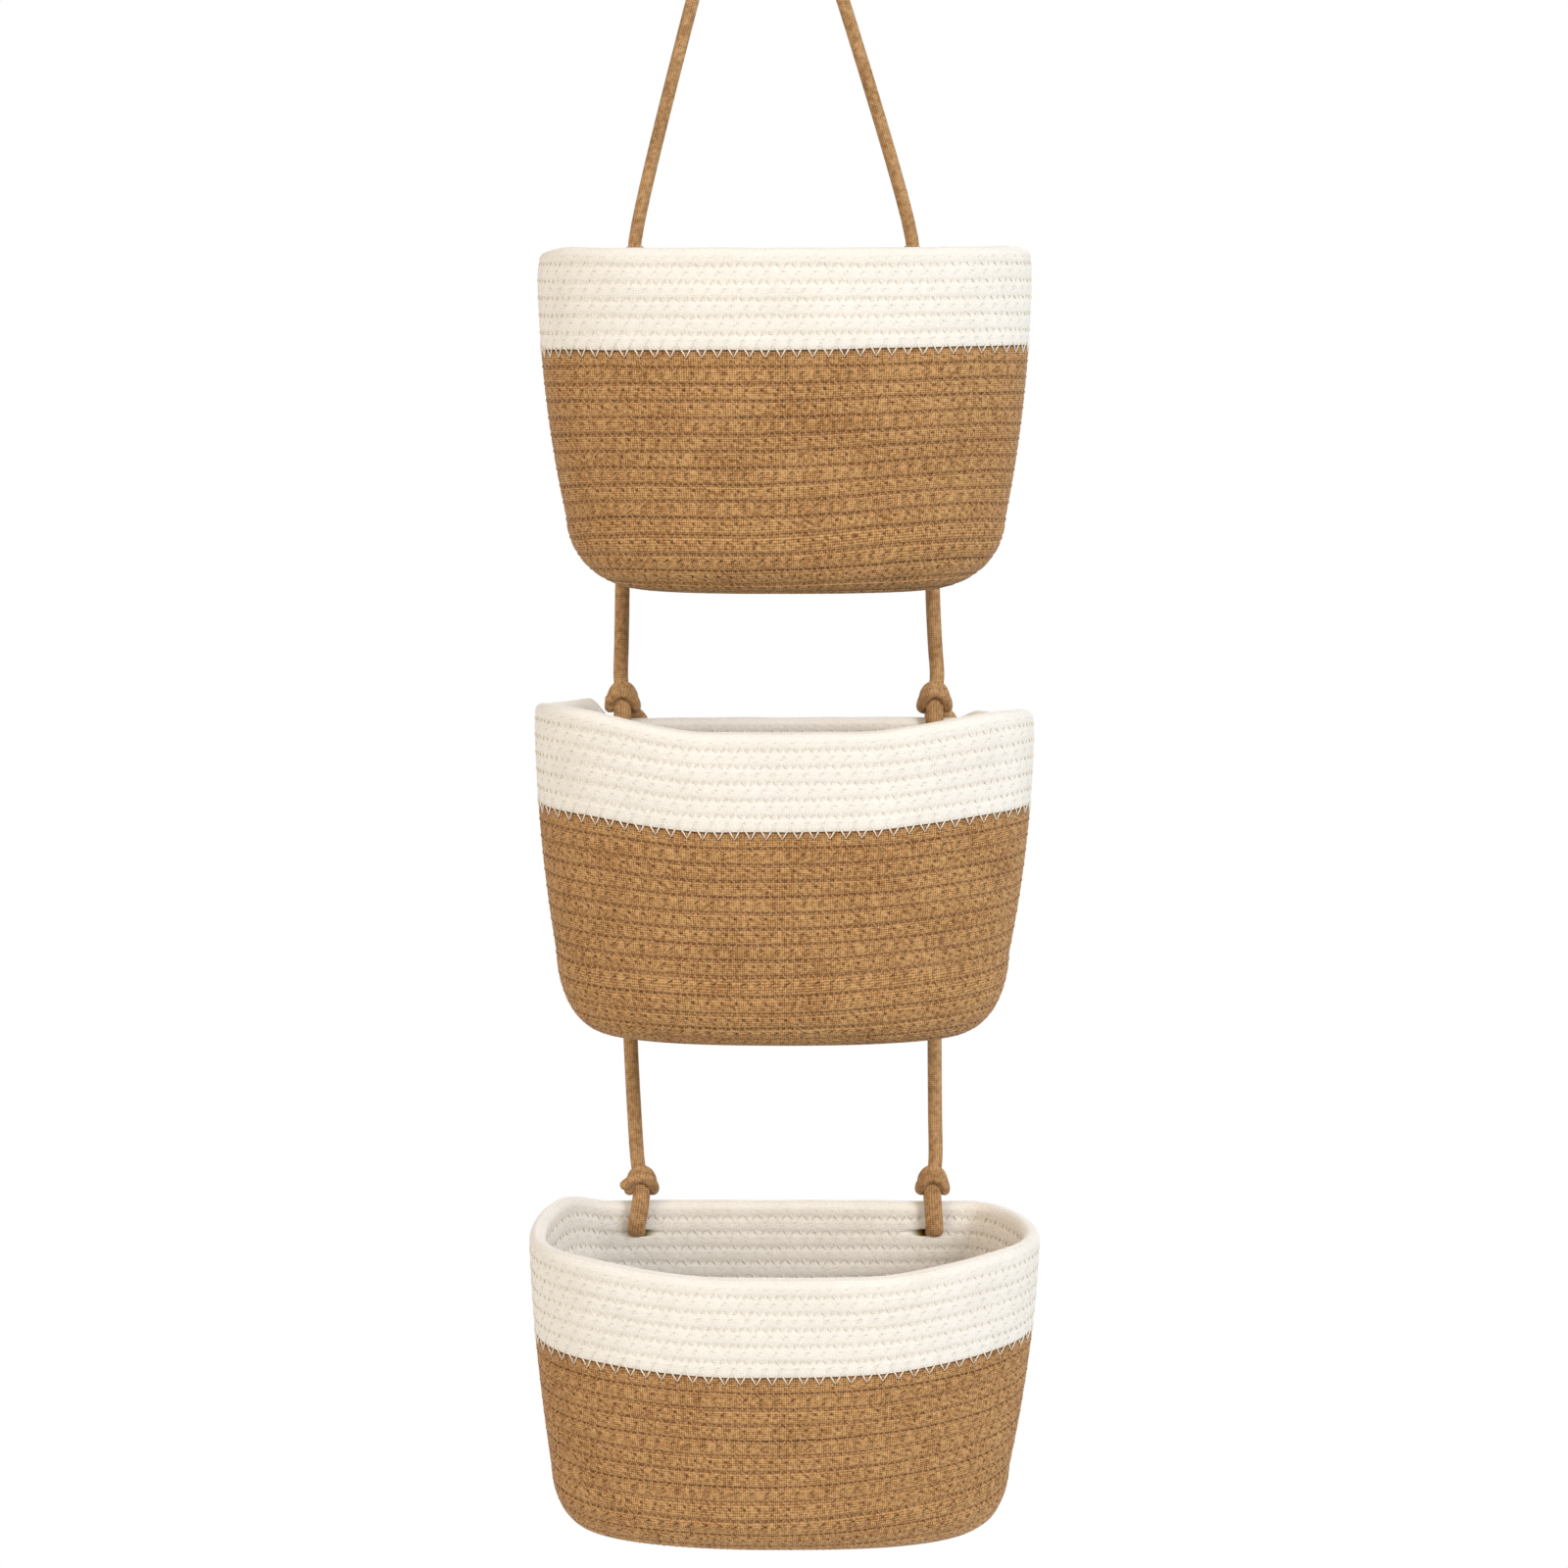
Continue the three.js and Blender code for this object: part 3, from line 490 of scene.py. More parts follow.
def surface(tier, s, courses, outward):
    """Points of the wall or base at s round it, a number of courses from the rim, and outward
    from the middle of its thickness. The arrays broadcast; the last axis is x, y, z."""
    s, courses, outward = np.broadcast_arrays(*(np.asarray(a, float) for a in (s, courses, outward)))
    q, normal = around(tier, s)

    # The courses slant up to the right, most in the lower half of the wall
    across = plan_at(tier, q, 0)[0] / tier["half_width"]
    share = np.minimum(courses / tier["courses"], 1)
    rise = tier["skew"] * across * smoothstep(across, *SKEW_SHARES)
    on_wall = share * tier["courses"] - rise * share ** 2 * (1 - share ** 3)

    # Down the wall, and round the turned-in bottom, a quarter of an ellipse
    turn_width = mixed(normal, tier["side_turn_width"], FRONT_TURN_WIDTH, BACK_TURN_WIDTH)
    turn_height = mixed(normal, tier["turn_height"], tier["turn_height"], BACK_TURN_HEIGHT)
    taper = mixed(normal, side_taper_at(tier, normal), tier["front_taper"], 0)
    straight = tier["rim"] - tier["base"] - turn_height
    turn_length = (math.pi / 2) * np.hypot(turn_width, turn_height) * math.sqrt(0.5)
    run = on_wall / tier["courses"] * (straight + turn_length)
    turn = np.maximum(0, (run - straight) / turn_length * math.pi / 2)
    inset = taper * (np.minimum(run, straight) / straight) ** tier["bow_share"]
    inset = inset + turn_width * (1 - np.cos(turn))
    near_rim = np.maximum(0, 1 - courses / DRAWN_IN_COURSES)
    drawn_in = np.where(normal[0] < 0, *tier["end_drawn_in"])
    inset = inset + drawn_in * near_rim ** 2 * normal[0] ** 2
    x, y = plan_at(tier, q, inset / (taper + turn_width), normal)
    height = tier["rim"] - np.minimum(run, straight) - turn_height * np.sin(turn)
    height = height + rim_shift(tier, x, y, courses)
    tilt = np.arctan2(turn_width * np.sin(turn), turn_height * np.cos(turn))

    # In over the base, to the short straight course in its middle
    half_depth, spine_y = base_depths(tier)
    spine = tier["half_width"] - side_taper_at(tier, (0, 0)) - tier["side_turn_width"] - half_depth
    inward = np.clip((courses - tier["courses"]) / base_turns(tier), 0, 1)
    x = x + inward * (np.clip(x, -spine, spine) - x)
    y = y + inward * (spine_y - y)
    uneven = wobble(tier, s, courses) * (1 - inward) * np.cos(tilt)
    return np.stack([
        tier["middle"] + x + normal[0] * outward * np.cos(tilt),
        tier["wall_y"] - BACK_DEPTH + y + normal[1] * outward * np.cos(tilt),
        height + uneven - outward * np.sin(tilt)], -1)


def painted_seam_shade_depth(tier, s, courses):
    """How deep a seam's painted shade is, varied as from a loosely to a tightly sewn seam's."""
    seam = np.round(courses)
    turn = 2 * math.pi * s
    strength = SHADE_MEAN + SHADE_SPREAD * np.sin(
        SHADE_SEAM_PHASE * seam + SHADE_TIER_PHASE * tier["rim"])
    for waves, size, phase in SHADE_WAVES:
        strength = strength + size * np.sin(waves * turn + phase * seam)
    return strength


def stitch_count(tier):
    """How many zigzags go round one seam of the wall."""
    return round(rim_length(tier)[1][-1] / tier["stitch_pitch"])


def stitch_reach(seam):
    """Share of a course that a seam's stitches reach into, on both sides of it."""
    return np.where(np.asarray(seam) > CREAM_COURSES, TAN_REACH_SHARE, WHITE_REACH_SHARE)


def stitch_phase(courses):
    """How far the stitches of each seam are shifted, in stitches; it changes only between the
    two rows of needle holes that a course has."""
    seam = np.floor(courses)
    share = smoothstep(courses - seam, stitch_reach(seam), 1 - stitch_reach(seam + 1))
    here, below = np.mod(STITCH_SHIFT * seam, 1), np.mod(STITCH_SHIFT * (seam + 1), 1)
    return (1 - share) * here + share * below


def bulge(share, groove, is_rim=False):
    """Half the thickness of a course, at a share of its height. The rim's edge is round."""
    if is_rim and share < 0.5:
        return HALF_COURSE * math.sqrt(1 - (2 * share - 1) ** 2)
    return max(HALF_COURSE * (1 - abs(2 * share - 1) ** BULGE_SQUARENESS) ** BULGE_ROUNDING, groove)


def slit_nearness(tier, x, y):
    """1 where a rim loop goes through the back wall, fading to 0 beside it."""
    near = np.zeros_like(x)
    for across, shift in zip(tier["loops"], tier["slit_shift"]):
        near = np.maximum(near, np.exp(-((x - tier["middle"] - across - shift) / SLIT_REACH) ** 2))
    return np.where(y > tier["wall_y"] - 3 * HALF_COURSE, near, 0)


# Rows of points down a course, as shares of its height. A row lies on a seam or in a line of
# needle holes when it is within ON_ROW of it.
COLUMNS_PER_STITCH = 6
EDGE_SHARES = (0, 0.05, 0.15, 0.85, 0.95)
PLAIN_SHARES = (0, 0.5)
BASE_SHARES = (0, 0.1, 0.3, 0.7, 0.9)
BASE_CLOSING = 0.02
ON_ROW = 0.01


def row_shares(course):
    """Rows close together at a course's edges and round its needle holes."""
    upper, lower = float(stitch_reach(course)), 1 - float(stitch_reach(course + 1))
    holes = (upper - HOLE_SHARE, upper, (upper + lower) / 2, lower, lower + HOLE_SHARE)
    return sorted({round(share, 3) for share in (*EDGE_SHARES, *holes)})


def coil_rows(first, end, groove_out, outside_shares, inside_shares):
    """Rows of points down the outside of a coil and back up its inside: how many courses from
    the rim each lies, and how far outward. At the rim's round edge both sides share one row."""
    rows = []
    for is_outside, course_shares in ((True, outside_shares), (False, inside_shares)):
        side = [(course + share, bulge(share, groove_out, course == 0))
                for course, shares in enumerate(course_shares, first) for share in shares]
        side.append((end, groove_out))
        side = side if is_outside else [(row, -out) for row, out in side[::-1]]
        rows += side if is_outside or first > 0 else side[:-1]
    return np.array([row for row, _ in rows])[:, None], np.array([out for _, out in rows])[:, None]


def needle_holes(courses, column):
    """How open a needle hole is at each point: wide below a seam, smaller above it."""
    seam = np.floor(courses)
    in_stitch = column % COLUMNS_PER_STITCH / COLUMNS_PER_STITCH
    below_seam = (np.abs(courses - seam - stitch_reach(seam)) < ON_ROW) & (in_stitch == 0) & (seam > 0)
    above_seam = (np.abs(seam + 1 - stitch_reach(seam + 1) - courses) < ON_ROW) & (in_stitch == 0.5)
    return np.where(above_seam, UPPER_HOLE_SHARE, below_seam)


def painted_seam_shade(outward, groove_out):
    """Painted shade of a seam: 1 in its groove, fading to 0 towards the swell of the course."""
    shaded = GROOVE_SHADE_SHARE * (HALF_COURSE - groove_out)
    return 1 - np.clip((np.abs(outward) - groove_out) / shaded, 0, 1)


def with_slits(tier, s, courses, outward, groove):
    """The rows of the rim band, parted and sunk where the rim loops go through it, and given painted
    shade there.
    """
    plain = surface(tier, s, courses, outward)
    near = slit_nearness(tier, plain[..., 0], plain[..., 1])
    from_seam = courses - SLIT_SEAM
    opening = SLIT_OPENING_SHARE * near * np.exp(-(from_seam / SLIT_SPREAD_SHARE) ** 2)
    is_seam, is_lip = np.abs(from_seam) < ON_ROW, np.abs(from_seam) < SLIT_LIP_SHARE
    outward = np.where(is_seam, outward - np.sign(outward) * SLIT_DEPTH * near, outward)
    # The slit's lips get a painted dark shade
    groove = np.where(is_lip, np.maximum(groove, SLIT_SHADE * near ** 2 / SEAM_SHADE_SHARE), groove)
    return courses + np.sign(from_seam) * opening, outward, groove


def closed_ring(values):
    """The values with the first one again after the last."""
    return np.append(values, np.ravel(values)[0])


def coil(tier, name, first, last, has_plain_inside, groove_out, dimple, material):
    """A closed band of courses, with a rope's swell at each course, a groove at each seam, and
    a dimple at each needle hole."""
    is_rim = first == 0
    sewn = [row_shares(course) for course in range(first, last)]
    plain = [PLAIN_SHARES] * len(sewn)
    courses, outward = coil_rows(first, last, groove_out, sewn, plain if has_plain_inside else sewn)
    columns = COLUMNS_PER_STITCH * stitch_count(tier)
    column = np.arange(columns)[None, :]
    s = (column / COLUMNS_PER_STITCH + stitch_phase(courses)) / stitch_count(tier)
    holes = needle_holes(courses, column)
    outward = outward - np.sign(outward) * dimple * holes
    # From here, groove is how deep the painted seam shade at each point is
    groove = painted_seam_shade(outward, groove_out)
    groove = np.where(courses < 0.5, 0, groove * painted_seam_shade_depth(tier, s, courses))
    # The rim band's painted shade comes from its seams, needle holes and slits; the wall's also from
    # streaks slanting from the holes and a painted shadow under the cream band
    if is_rim:
        courses_there, outward, groove = with_slits(tier, s, courses, outward, groove)
        painted_shade = np.clip(SEAM_SHADE_SHARE * groove + CREAM_HOLE_SHADE * holes, 0, SLIT_SHADE)
    else:
        courses_there = np.broadcast_to(courses, outward.shape)
        # Painted shade slanting from each needle hole, and a painted shadow of the cream band on the
        # tan just under it
        slanted_painted_shade = np.zeros(holes.shape)
        slanted_painted_shade[:-1] += np.roll(holes[1:], 1, axis=1)
        slanted_painted_shade[1:] += np.roll(holes[:-1], -1, axis=1)
        painted_shadow_under_cream = UNDER_CREAM_SHADE * np.clip(1 - (courses - first) / UNDER_CREAM_SHARE, 0, 1)
        painted_shade = SEAM_SHADE_SHARE * groove + holes + SLANT_SHARE * slanted_painted_shade
        painted_shade = np.clip(np.maximum(painted_shade, painted_shadow_under_cream), 0, 1)
    gap = SEWING_GAP / COURSE
    top, bottom = (first if is_rim else first + gap), last - gap
    points = surface(tier, s, np.clip(courses_there, top, bottom), outward)
    faces, corner_rows, corner_columns = closed_grid(len(courses), columns)
    phase = closed_ring(stitch_phase(courses))[corner_rows]
    u = (corner_columns / COLUMNS_PER_STITCH + phase) / stitch_count(tier) * rim_length(tier)[1][-1]
    v = closed_ring(courses)[corner_rows] * COURSE
    return add_piece(name, points, faces, material, np.stack([u, v], -1), painted_shade)


def base_coil(tier, name, material):
    """The base: flat courses wound in to the short straight course in its middle."""
    first, turns = tier["courses"], base_turns(tier)
    shares = [BASE_SHARES] * turns
    courses, outward = coil_rows(first, first + turns - BASE_CLOSING, TAN_GROOVE, shares, shares)
    courses = np.maximum(courses, first + SEWING_GAP / COURSE)
    columns = COLUMNS_PER_STITCH // 2 * stitch_count(tier)
    points = surface(tier, np.arange(columns)[None, :] / columns, courses, outward)
    faces, corner_rows, corner_columns = closed_grid(len(courses), columns)
    u = corner_columns / columns * rim_length(tier)[1][-1] / 2
    v = (closed_ring(courses) * COURSE)[corner_rows]
    # Painted shade in the base's seams
    painted_shade = np.broadcast_to(SEAM_SHADE_SHARE * painted_seam_shade(outward, TAN_GROOVE), points.shape[:2])
    return add_piece(name, points, faces, material, np.stack([u, v], -1), painted_shade)


# Zigzag stitches, one thread along each seam

def zigzag_tree():
    """Runs a thread through guide points that lie in needle holes; between two holes the
    thread is lifted over the seam, or sunk by a negative lift."""
    tree = bpy.data.node_groups.new("zigzag_seam_thread", "GeometryNodeTree")
    for name, kind in (("Needle holes", "Geometry"), ("Thread radius", "Float"),
                       ("Sink at hole", "Float"), ("Lift between holes", "Float"),
                       ("Thread", "Material")):
        tree.interface.new_socket(name, in_out="INPUT", socket_type="NodeSocket" + kind)
    tree.interface.new_socket("Threads", in_out="OUTPUT", socket_type="NodeSocketGeometry")
    given = add_node(tree, "NodeGroupInput")
    line = add_node(tree, "GeometryNodeMeshToCurve", [("Mesh", given["Needle holes"])])[0]
    line = add_node(tree, "GeometryNodeSubdivideCurve", [("Curve", line), ("Cuts", 1)])[0]
    index = add_node(tree, "GeometryNodeInputIndex")[0]
    is_between = add_node(tree, "ShaderNodeMath", [(0, index), (1, 2.0)], operation="MODULO")[0]
    sunk = add_node(tree, "ShaderNodeMath", [(0, given["Sink at hole"]), (1, -1.0)],
                    operation="MULTIPLY")[0]
    shift = add_node(tree, "ShaderNodeMapRange", [
        ("Value", is_between), ("To Min", sunk), ("To Max", given["Lift between holes"])])[0]
    outward = add_node(tree, "GeometryNodeInputNamedAttribute", [("Name", "outward")],
                       data_type="FLOAT_VECTOR")[0]
    offset = add_node(tree, "ShaderNodeVectorMath", [(0, outward), ("Scale", shift)],
                      operation="SCALE")[0]
    line = add_node(tree, "GeometryNodeSetPosition", [("Geometry", line), ("Offset", offset)])[0]
    section = add_node(tree, "GeometryNodeCurvePrimitiveCircle", [
        ("Resolution", 4), ("Radius", given["Thread radius"])])[0]
    thread = add_node(tree, "GeometryNodeCurveToMesh", [
        ("Curve", line), ("Profile Curve", section)])[0]
    thread = add_node(tree, "GeometryNodeSetShadeSmooth", [("Geometry", thread)])[0]
    thread = add_node(tree, "GeometryNodeRealizeInstances", [("Geometry", thread)])[0]
    thread = add_node(tree, "GeometryNodeSetMaterial", [
        ("Geometry", thread), ("Material", given["Thread"])])[0]
    add_node(tree, "NodeGroupOutput", [(0, thread)])
    return tree


ZIGZAG = zigzag_tree()


def seam_guide(tier, seam, count, side):
    """Needle holes of one seam in sewing order, and the way out of the rope at each. side is 1
    outside and -1 inside."""
    stitch = np.arange(count)
    phase = np.mod(STITCH_SHIFT * seam, 1)
    s = np.stack([stitch + phase, stitch + phase + 0.5], -1).ravel() / count
    reach = float(stitch_reach(seam))
    courses = seam + np.tile([reach, -reach], count)
    out = bulge(reach, TAN_GROOVE)
    if seam == SLIT_SEAM:
        plain = surface(tier, s, courses, 0)
        out = np.where(slit_nearness(tier, plain[..., 0], plain[..., 1]) > NEAR_SLIT, 0, out)
    points = surface(tier, s, courses, side * out)
    outward = surface(tier, s, courses, side * (out + MM)) - points
    return points, outward / np.linalg.norm(outward, axis=-1, keepdims=True)


def stitching(tier, name, first_seam, last_seam, radius, sink, thread):
    """The threads of a run of seams, outside and inside, as one plain mesh."""
    points, outward, edges = [], [], []
    for side in (1, -1):
        for seam in range(first_seam, last_seam + 1):
            inward = max(0, seam - tier["courses"]) / base_turns(tier)
            thinning = (1 - BASE_THINNING * (inward > 0)) * (1 - CENTRE_THINNING * inward)
            count = max(LEAST_STITCHES, round(stitch_count(tier) * thinning))
            places, ways = seam_guide(tier, seam, count, side)
            start = sum(len(p) for p in points)
            points.append(places)
            outward.append(ways)
            edges += [(start + i, start + (i + 1) % (2 * count)) for i in range(2 * count)]
    guide_mesh = bpy.data.meshes.new(name + "_holes")
    guide_mesh.from_pydata(np.concatenate(points).tolist(), edges, [])
    ways = guide_mesh.attributes.new("outward", "FLOAT_VECTOR", "POINT")
    ways.data.foreach_set("vector", np.concatenate(outward).astype(np.float32).ravel())
    guide = placed(name + "_holes", guide_mesh)
    sewing = guide.modifiers.new("sewing", "NODES")
    sewing.node_group = ZIGZAG
    values = {"Thread radius": radius, "Sink at hole": sink,
              "Lift between holes": THREAD_LIFT, "Thread": thread}
    for item in ZIGZAG.interface.items_tree:
        if item.name in values:
            sewing[item.identifier] = values[item.name]
    depsgraph = bpy.context.evaluated_depsgraph_get()
    mesh = bpy.data.meshes.new_from_object(guide.evaluated_get(depsgraph))
    bpy.data.objects.remove(guide)
    mesh.name = name
    piece = placed(name, mesh)
    return piece


# Ropes

ROPE_SIDES = 16
ROPE_STEP = 1.2 * MM
HITCH_STEP = 0.9 * MM
TAIL_STEP = 0.6 * MM
STEPS_BETWEEN_PLACES = 12
LEAST_GAP = 1e-9
BIGHT_PLACES = 24
ROUND_END_SHARE = 0.6
ROUND_END_LEAST = 0.2
ANY_WAY_ACROSS = (0.3, 1, 0.2)

# The rope over the back rim, in millimetres from the knot, the first number towards the next
# knot; its run down the back; and the free stretch, as shares of its height and of the
# distance from the wall
OVER_RIM_ROUTE = ((1.0, 2.5, 2.5), (2.2, 6.8, 2.2), (3.2, 9.6, -1.6))
BEHIND_RIM_ACROSS = 3.5 * MM
BEHIND_RIM_DROP = 7 * MM
BACK_RUN_SHARES = np.linspace(0.08, 0.97, 9)
BEND_IN_SHARES = (0.25, 0.95)
BEND_EASE = 0.6 * MM
FREE_SHARES = ((0.3, 0.7), (0.7, 0.28))
FREE_BOW = 1.5
ENTRY_SHARE = 0.4
SPLIT_DROP = 7 * MM


def smooth_route(places, step=ROPE_STEP):
    """A smooth line through the places, with points a step apart."""
    places = np.asarray(places, float)
    ends = np.vstack([2 * places[0] - places[1], places, 2 * places[-1] - places[-2]])
    line = []
    for p0, p1, p2, p3 in zip(ends, ends[1:], ends[2:], ends[3:]):
        gaps = [max(np.linalg.norm(b - a), LEAST_GAP) ** 0.5 for a, b in ((p0, p1), (p1, p2), (p2, p3))]
        t0, t1, t2, t3 = 0, gaps[0], gaps[0] + gaps[1], sum(gaps)
        for t in np.linspace(t1, t2, STEPS_BETWEEN_PLACES, endpoint=False):
            a1 = (t1 - t) / (t1 - t0) * p0 + (t - t0) / (t1 - t0) * p1
            a2 = (t2 - t) / (t2 - t1) * p1 + (t - t1) / (t2 - t1) * p2
            a3 = (t3 - t) / (t3 - t2) * p2 + (t - t2) / (t3 - t2) * p3
            b1 = (t2 - t) / (t2 - t0) * a1 + (t - t0) / (t2 - t0) * a2
            b2 = (t3 - t) / (t3 - t1) * a2 + (t - t1) / (t3 - t1) * a3
            line.append((t2 - t) / (t2 - t1) * b1 + (t - t1) / (t2 - t1) * b2)
    line.append(places[-1])
    return resampled(np.array(line), step)


def lengths(line):
    """How far along the line each of its points is."""
    return np.concatenate([[0], np.cumsum(np.linalg.norm(np.diff(line, axis=0), axis=1))])


def resampled(line, step):
    """The line with its points a step apart."""
    along = lengths(line)
    places = np.linspace(0, along[-1], max(2, round(along[-1] / step)) + 1)
    return np.stack([np.interp(places, along, line[:, axis]) for axis in range(3)], -1)


def rope_piece(name, line, radii, across=None, start_at=0, has_round_ends=False):
    """A rope along a line. radii is a radius, or a half width and half thickness, the width
    lying along across; start_at is where its braid pattern starts."""
    along = lengths(line)
    tangent = np.gradient(line, axis=0)
    tangent /= np.linalg.norm(tangent, axis=1, keepdims=True)
    side = np.zeros_like(line)
    side[0] = across if across is not None else np.cross(tangent[0], ANY_WAY_ACROSS)
    for i in range(len(line)):
        wanted = side[0] if across is not None else side[max(i - 1, 0)]
        side[i] = wanted - tangent[i] * np.dot(wanted, tangent[i])
        side[i] /= np.linalg.norm(side[i])
    up = np.cross(tangent, side)
    width, thickness = (radii if isinstance(radii, tuple) else (radii, radii))
    width, thickness = np.broadcast_to(width, along.shape), np.broadcast_to(thickness, along.shape)
    turn = 2 * math.pi * np.arange(ROPE_SIDES) / ROPE_SIDES
    scale = np.ones(len(line))
    if has_round_ends:
        from_end = np.minimum(along, along[-1] - along)
        depth = ROUND_END_SHARE * float(np.max(width))
        scale = np.sqrt(np.clip(1 - (1 - np.clip(from_end / depth, 0, 1)) ** 2, ROUND_END_LEAST, 1))
    rings = (line[:, None]
             + side[:, None] * (scale * width)[:, None, None] * np.cos(turn)[None, :, None]
             + up[:, None] * (scale * thickness)[:, None, None] * np.sin(turn)[None, :, None])
    count = len(line)
    points = np.vstack([rings.reshape(-1, 3), rings[0], rings[-1], line[0], line[-1]])
    faces, uvs = [], []
    edge = 2 * math.pi * ROPE_RADIUS / ROPE_SIDES
    for ring in range(count - 1):
        for i in range(ROPE_SIDES):
            j = (i + 1) % ROPE_SIDES
            here, there = ring * ROPE_SIDES, (ring + 1) * ROPE_SIDES
            faces.append((here + i, here + j, there + j, there + i))
            a, b = along[ring] + start_at, along[ring + 1] + start_at
            uvs += [(a, i * edge), (a, (i + 1) * edge), (b, (i + 1) * edge), (b, i * edge)]
    first_cap, last_cap, middle = ((count + more) * ROPE_SIDES for more in range(3))
    for i in range(ROPE_SIDES):
        j = (i + 1) % ROPE_SIDES
        faces.append((middle, first_cap + j, first_cap + i))
        faces.append((middle + 1, last_cap + i, last_cap + j))
        uvs += [(0, 0), (0, i * edge), (edge, i * edge)] * 2
    return add_piece(name, points, faces, HANGING_ROPE, uvs)


def joined(name, pieces):
    """Several rope pieces of one body as one object."""
    with bpy.context.temp_override(active_object=pieces[0], selected_editable_objects=pieces):
        bpy.ops.object.join()
    pieces[0].name = pieces[0].data.name = name
    return pieces[0]


def knot_place(tier, side):
    """The middle of a knot over a back rim, in the plane of the hinges."""
    return np.array([tier["middle"] + tier["loops"][SIDES.index(side)], 0, tier["collar"]])


def hanger_route():
    """From the left knot over the hook and down to the right knot."""
    tier = TIERS["upper"]
    feet = [knot_place(tier, side)[[0, 2]] + (0, HINGES["upper_tip"][2] - tier["collar"])
            for side in SIDES]
    centre = np.array([0, ROPE_RADIUS - BIGHT_RADIUS])
    turns = []
    for foot, way in zip(feet, (-1, 1)):
        reach = foot - centre
        turns.append(math.atan2(reach[1], reach[0]) + way * math.acos(BIGHT_RADIUS / np.hypot(*reach)))
    arc = np.linspace(turns[0] % (2 * math.pi), turns[1], BIGHT_PLACES)
    bight = [(centre[0] + BIGHT_RADIUS * math.cos(a), 0, centre[1] + BIGHT_RADIUS * math.sin(a))
             for a in arc]
    line = [knot_place(tier, "left"), (feet[0][0], 0, feet[0][1])] + bight
    line += [(feet[1][0], 0, feet[1][1]), knot_place(tier, "right")]
    return smooth_route(line)


def down_route(above, below, side):
    """From a knot down behind its basket, round the bend under it, to the next knot."""
    start, end = knot_place(above, side), knot_place(below, side)
    swing, tip = HINGES[below["name"] + "_swing"], HINGES[below["name"] + "_tip"]
    top = HINGES[above["name"] + "_tip"][2]
    share = (top - swing[2]) / (top - tip[2])
    way = math.copysign(1, end[0] - start[0])
    beside = start[0] + way * (PRESSED_WIDTH / 2 + SEAT_CLEARANCE + DROPPER_RADIUS)
    number = SIDES.index(side)
    bend_x = start[0] + (end[0] - start[0]) * share + below["bend_shift"][number]
    entry_x = end[0] + below["entry_shift"][number]
    places = [start + np.multiply((way, 1, 1), step) * MM for step in OVER_RIM_ROUTE]
    places.append(start + (way * BEHIND_RIM_ACROSS, swing[1], -BEHIND_RIM_DROP))
    for down in BACK_RUN_SHARES:
        x = beside + (bend_x - beside) * smoothstep(down, *BEND_IN_SHARES)
        places.append((x, swing[1], start[2] + (swing[2] - start[2]) * down))
    places.append((bend_x, swing[1] - BEND_EASE, swing[2] - MM))
    for down, back_share in FREE_SHARES:
        places.append((bend_x + down ** FREE_BOW * (entry_x - bend_x), back_share * swing[1],
                       swing[2] + down * (tip[2] - swing[2])))
    places.append((entry_x, 0, tip[2]))
    places += [(entry_x + ENTRY_SHARE * (end[0] - entry_x), 0, (tip[2] + end[2]) / 2), end]
    return smooth_route(places)


def hanger_rope():
    """The one rope that the whole object hangs from."""
    line = hanger_route()
    rope = rope_piece("hanger_rope", line, ROPE_RADIUS)
    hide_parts("hanger")
    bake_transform(rope)


def hanging_ropes(above, below, side):
    """The rope behind one basket, and the free stretch from there to the next rim."""
    line = down_route(above, below, side)
    swing, tip = HINGES[below["name"] + "_swing"], HINGES[below["name"] + "_tip"]
    split = int(np.argmax(line[:, 2] < swing[2] - SPLIT_DROP))
    run = rope_piece(f"{above['name']}_{side}_back_rope", line[:split + 1], DROPPER_RADIUS)
    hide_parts(f"{above['name']}_{side}_back_run")
    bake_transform(run)
    free = rope_piece(f"{below['name']}_{side}_hanging_rope", line[split:], DROPPER_RADIUS,
                      start_at=lengths(line)[split])
    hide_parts(f"{below['name']}_{side}_dropper")
    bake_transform(free)


hanger_rope()
for above, below in (("upper", "middle"), ("middle", "lower")):
    for side in SIDES:
        hanging_ropes(TIERS[above], TIERS[below], side)


# Rim loops and knots

# A double half hitch, in millimetres from the knot's middle: up behind, over the front, round
# the back and over the front again, lower and wider
HITCH_ROUTE = (
    (-5.4, 2.0, -3.0), (-5.2, -0.8, 2.4), (-3.1, -2.6, 6.2), (0, -3.2, 7.6), (3.1, -2.6, 6.2),
    (5.2, -0.8, 2.4), (6.0, 1.6, -3.0), (2.8, 4.2, -5.6), (-2.8, 4.2, -5.6), (-6.4, 1.0, -5.0),
    (-6.7, -2.4, -2.0), (-5.4, -4.7, 1.4), (-3.0, -6.1, 3.7), (0, -6.6, 4.7), (3.0, -6.1, 3.7),
    (5.4, -4.7, 1.4), (6.7, -2.6, -2.6), (6.4, -0.2, -6.4))
TAIL_ROUTES = {
    "left": ((-2.0, -4.4, 3.6), (-5.4, -5.2, 1.4), (-8.4, -5.0, -1.2)),
    "right": ((3.0, 2.0, -1.0), (6.0, 1.4, -3.4), (7.2, 0.6, -7.0))}


